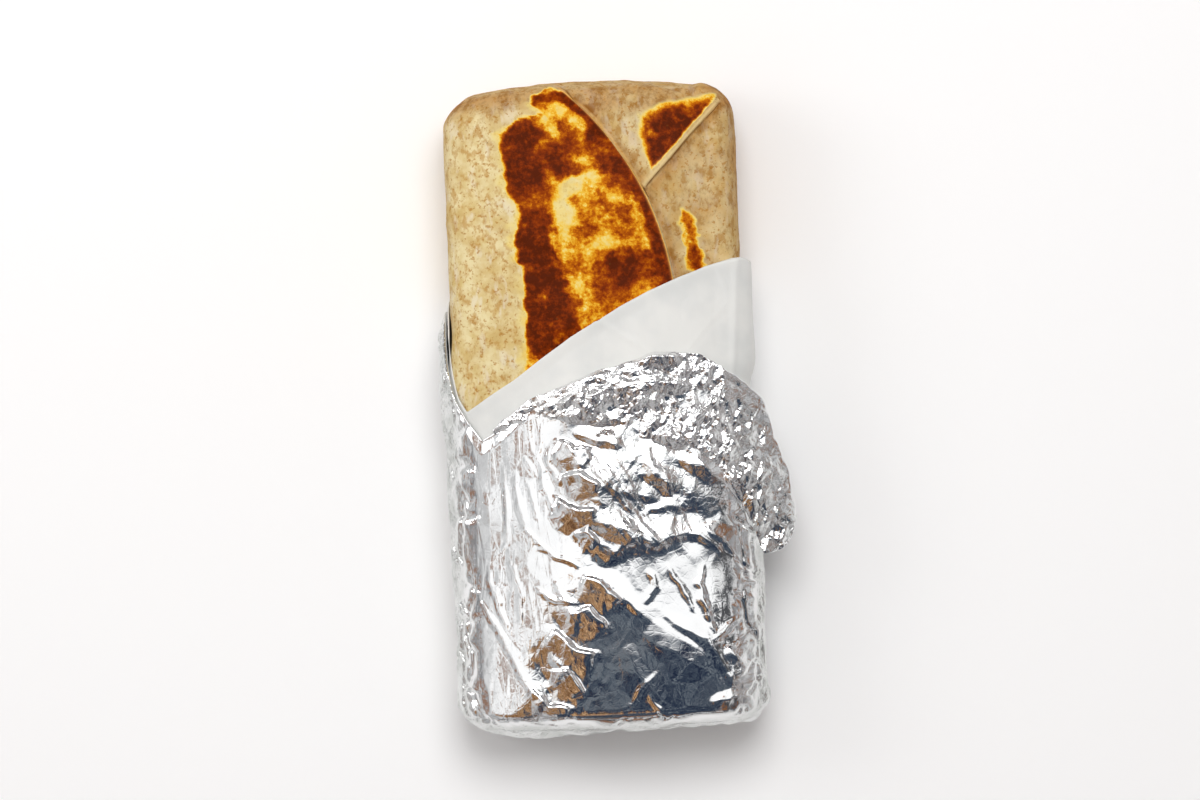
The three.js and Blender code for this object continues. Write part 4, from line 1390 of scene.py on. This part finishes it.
def makeWorld():
    # A white ceiling that greys and breaks up lower down. Towards -y stand a dark blue and a brown
    # shape for the foil to mirror. `leanX` and `leanY` are x / z and y / z of each direction.
    world = bpy.data.worlds.new("studio_room")
    bpy.context.scene.world = world
    world.use_nodes = True
    make = Recipe(world.node_tree)
    direction = make.node("ShaderNodeTexCoord")["Generated"]
    x, y, z = make.node("ShaderNodeSeparateXYZ", Vector=direction).values()
    rise = z.math("MAXIMUM", 0.05)
    leanX = x / rise
    leanY = y / rise
    # dark and warm shapes between 22 and 82 degrees from straight up, fewer to the sides
    horizon = z.eased(0.10, 0.16)
    ring = z.eased(0.95, 0.90) * horizon
    dark = ring * make.noise(direction, 4.6, 2.5, 0.5, 0.3).eased(0.485, 0.515)
    dark = dark * leanX.eased(1.3, 0.7, 0.5, 1.0) * leanX.eased(-0.6, -0.2, 0.3, 1.0)
    warmNoise = make.noise(make.stretched(direction, 1.0, 1.3, 1.0), 5.3, 2.5, 0.5, 0.2)
    warm = ring * warmNoise.eased(0.585, 0.61)
    # smaller dark shapes low down, for the wrapper's sides and its closed end
    lowNoise = make.noise(make.stretched(direction, 1.0, 1.0, 1.6), 8.0, 2.0, 0.5, 0.4)
    low = z.eased(0.72, 0.62) * horizon * lowNoise.eased(0.535, 0.565)
    low = low * leanX.eased(1.3, 0.5, 0.5, 1.0) * leanX.eased(-1.2, -0.6, 0.55, 1.0)
    # the dark blue shape, and the brown one to its left
    wobble = make.noise(direction, 9.0, 3) * 0.16 + -0.08
    blue = (leanY + wobble * 0.35).eased(-0.025, -0.120) * (leanY + wobble).eased(-1.15, -0.95)
    blue = blue * ((leanX + wobble * 0.5).eased(-0.20, -0.16) * (leanX + wobble).eased(0.62, 0.52))
    # the brown one's near edge draws back as it goes left, by 0.55 * max(0, -leanX - 0.13), and its
    # right edge reaches further right as it goes back, by 0.45 * max(0, -leanY - 0.2), up to 0.15
    drawnBack = ((leanX + 0.13) * -0.55).math("MAXIMUM", 0.0)
    reach = ((leanY + 0.2) * 0.45).math("MINIMUM", 0.0).math("MAXIMUM", -0.15)
    brown = (leanY + drawnBack + wobble * 0.3).eased(-0.040, -0.060)
    brown = brown * (leanY + wobble).eased(-0.68, -0.58) * (leanX + wobble).eased(-0.74, -0.64)
    brown = brown * (leanX + reach + wobble * 0.5).eased(-0.115, -0.135)
    layers = [
        (dark * 0.94, mirrored["dark"]),
        (low * 0.94, mirrored["low"]),
        (warm * 0.9, mirrored["warm"]),
        (blue, make.ramp(make.noise(direction, 16.0, 4, 0.6), mirrored["blue"])),
        (brown, make.ramp(make.noise(direction, 24.0, 3, 0.6, 0.3), mirrored["brown"])),
    ]
    sky = make.layered(make.ramp(z.math("MAXIMUM", 0.0), mirrored["ceiling"]), layers)
    background = make.first("ShaderNodeBackground", Color=sky, Strength=mirrored["power"])
    make.node("ShaderNodeOutputWorld", Surface=background)


def makeLamps():
    # Round lamps, each turned to look at the same point.
    for name, (place, width, power) in studio["lamps"].items():
        data = bpy.data.lights.new(name, "AREA")
        data.shape = "DISK"
        data.size = width
        data.energy = power
        lamp = addObject(name, data)
        lamp.location = place
        towards = Vector(studio["lampTarget"]) - Vector(place)
        lamp.rotation_euler = towards.to_track_quat("-Z", "Y").to_euler()


def makeCamera():
    # Straight above, far off with a long lens, rolled so that the object's top leans left.
    # The lens is sensor width * distance / the width of what is seen.
    data = bpy.data.cameras.new("camera")
    data.sensor_width = studio["sensorWidth"]
    data.lens = studio["sensorWidth"] * studio["distance"] / studio["frameWidth"]
    data.clip_start, data.clip_end = studio["cameraReach"]
    camera = addObject("camera", data)
    x, y, _ = origin + np.array([*studio["aim"], 0]) / 1000
    camera.location = (x, y, studio["distance"] + studio["focusHeight"])
    camera.rotation_euler = (0, 0, math.radians(studio["roll"]))
    bpy.context.scene.camera = camera


makeFloor()
makeWorld()
makeLamps()
makeCamera()
bpy.context.scene.view_settings.view_transform = "Standard"
bpy.context.scene.view_settings.look = "None"
print("studio made")
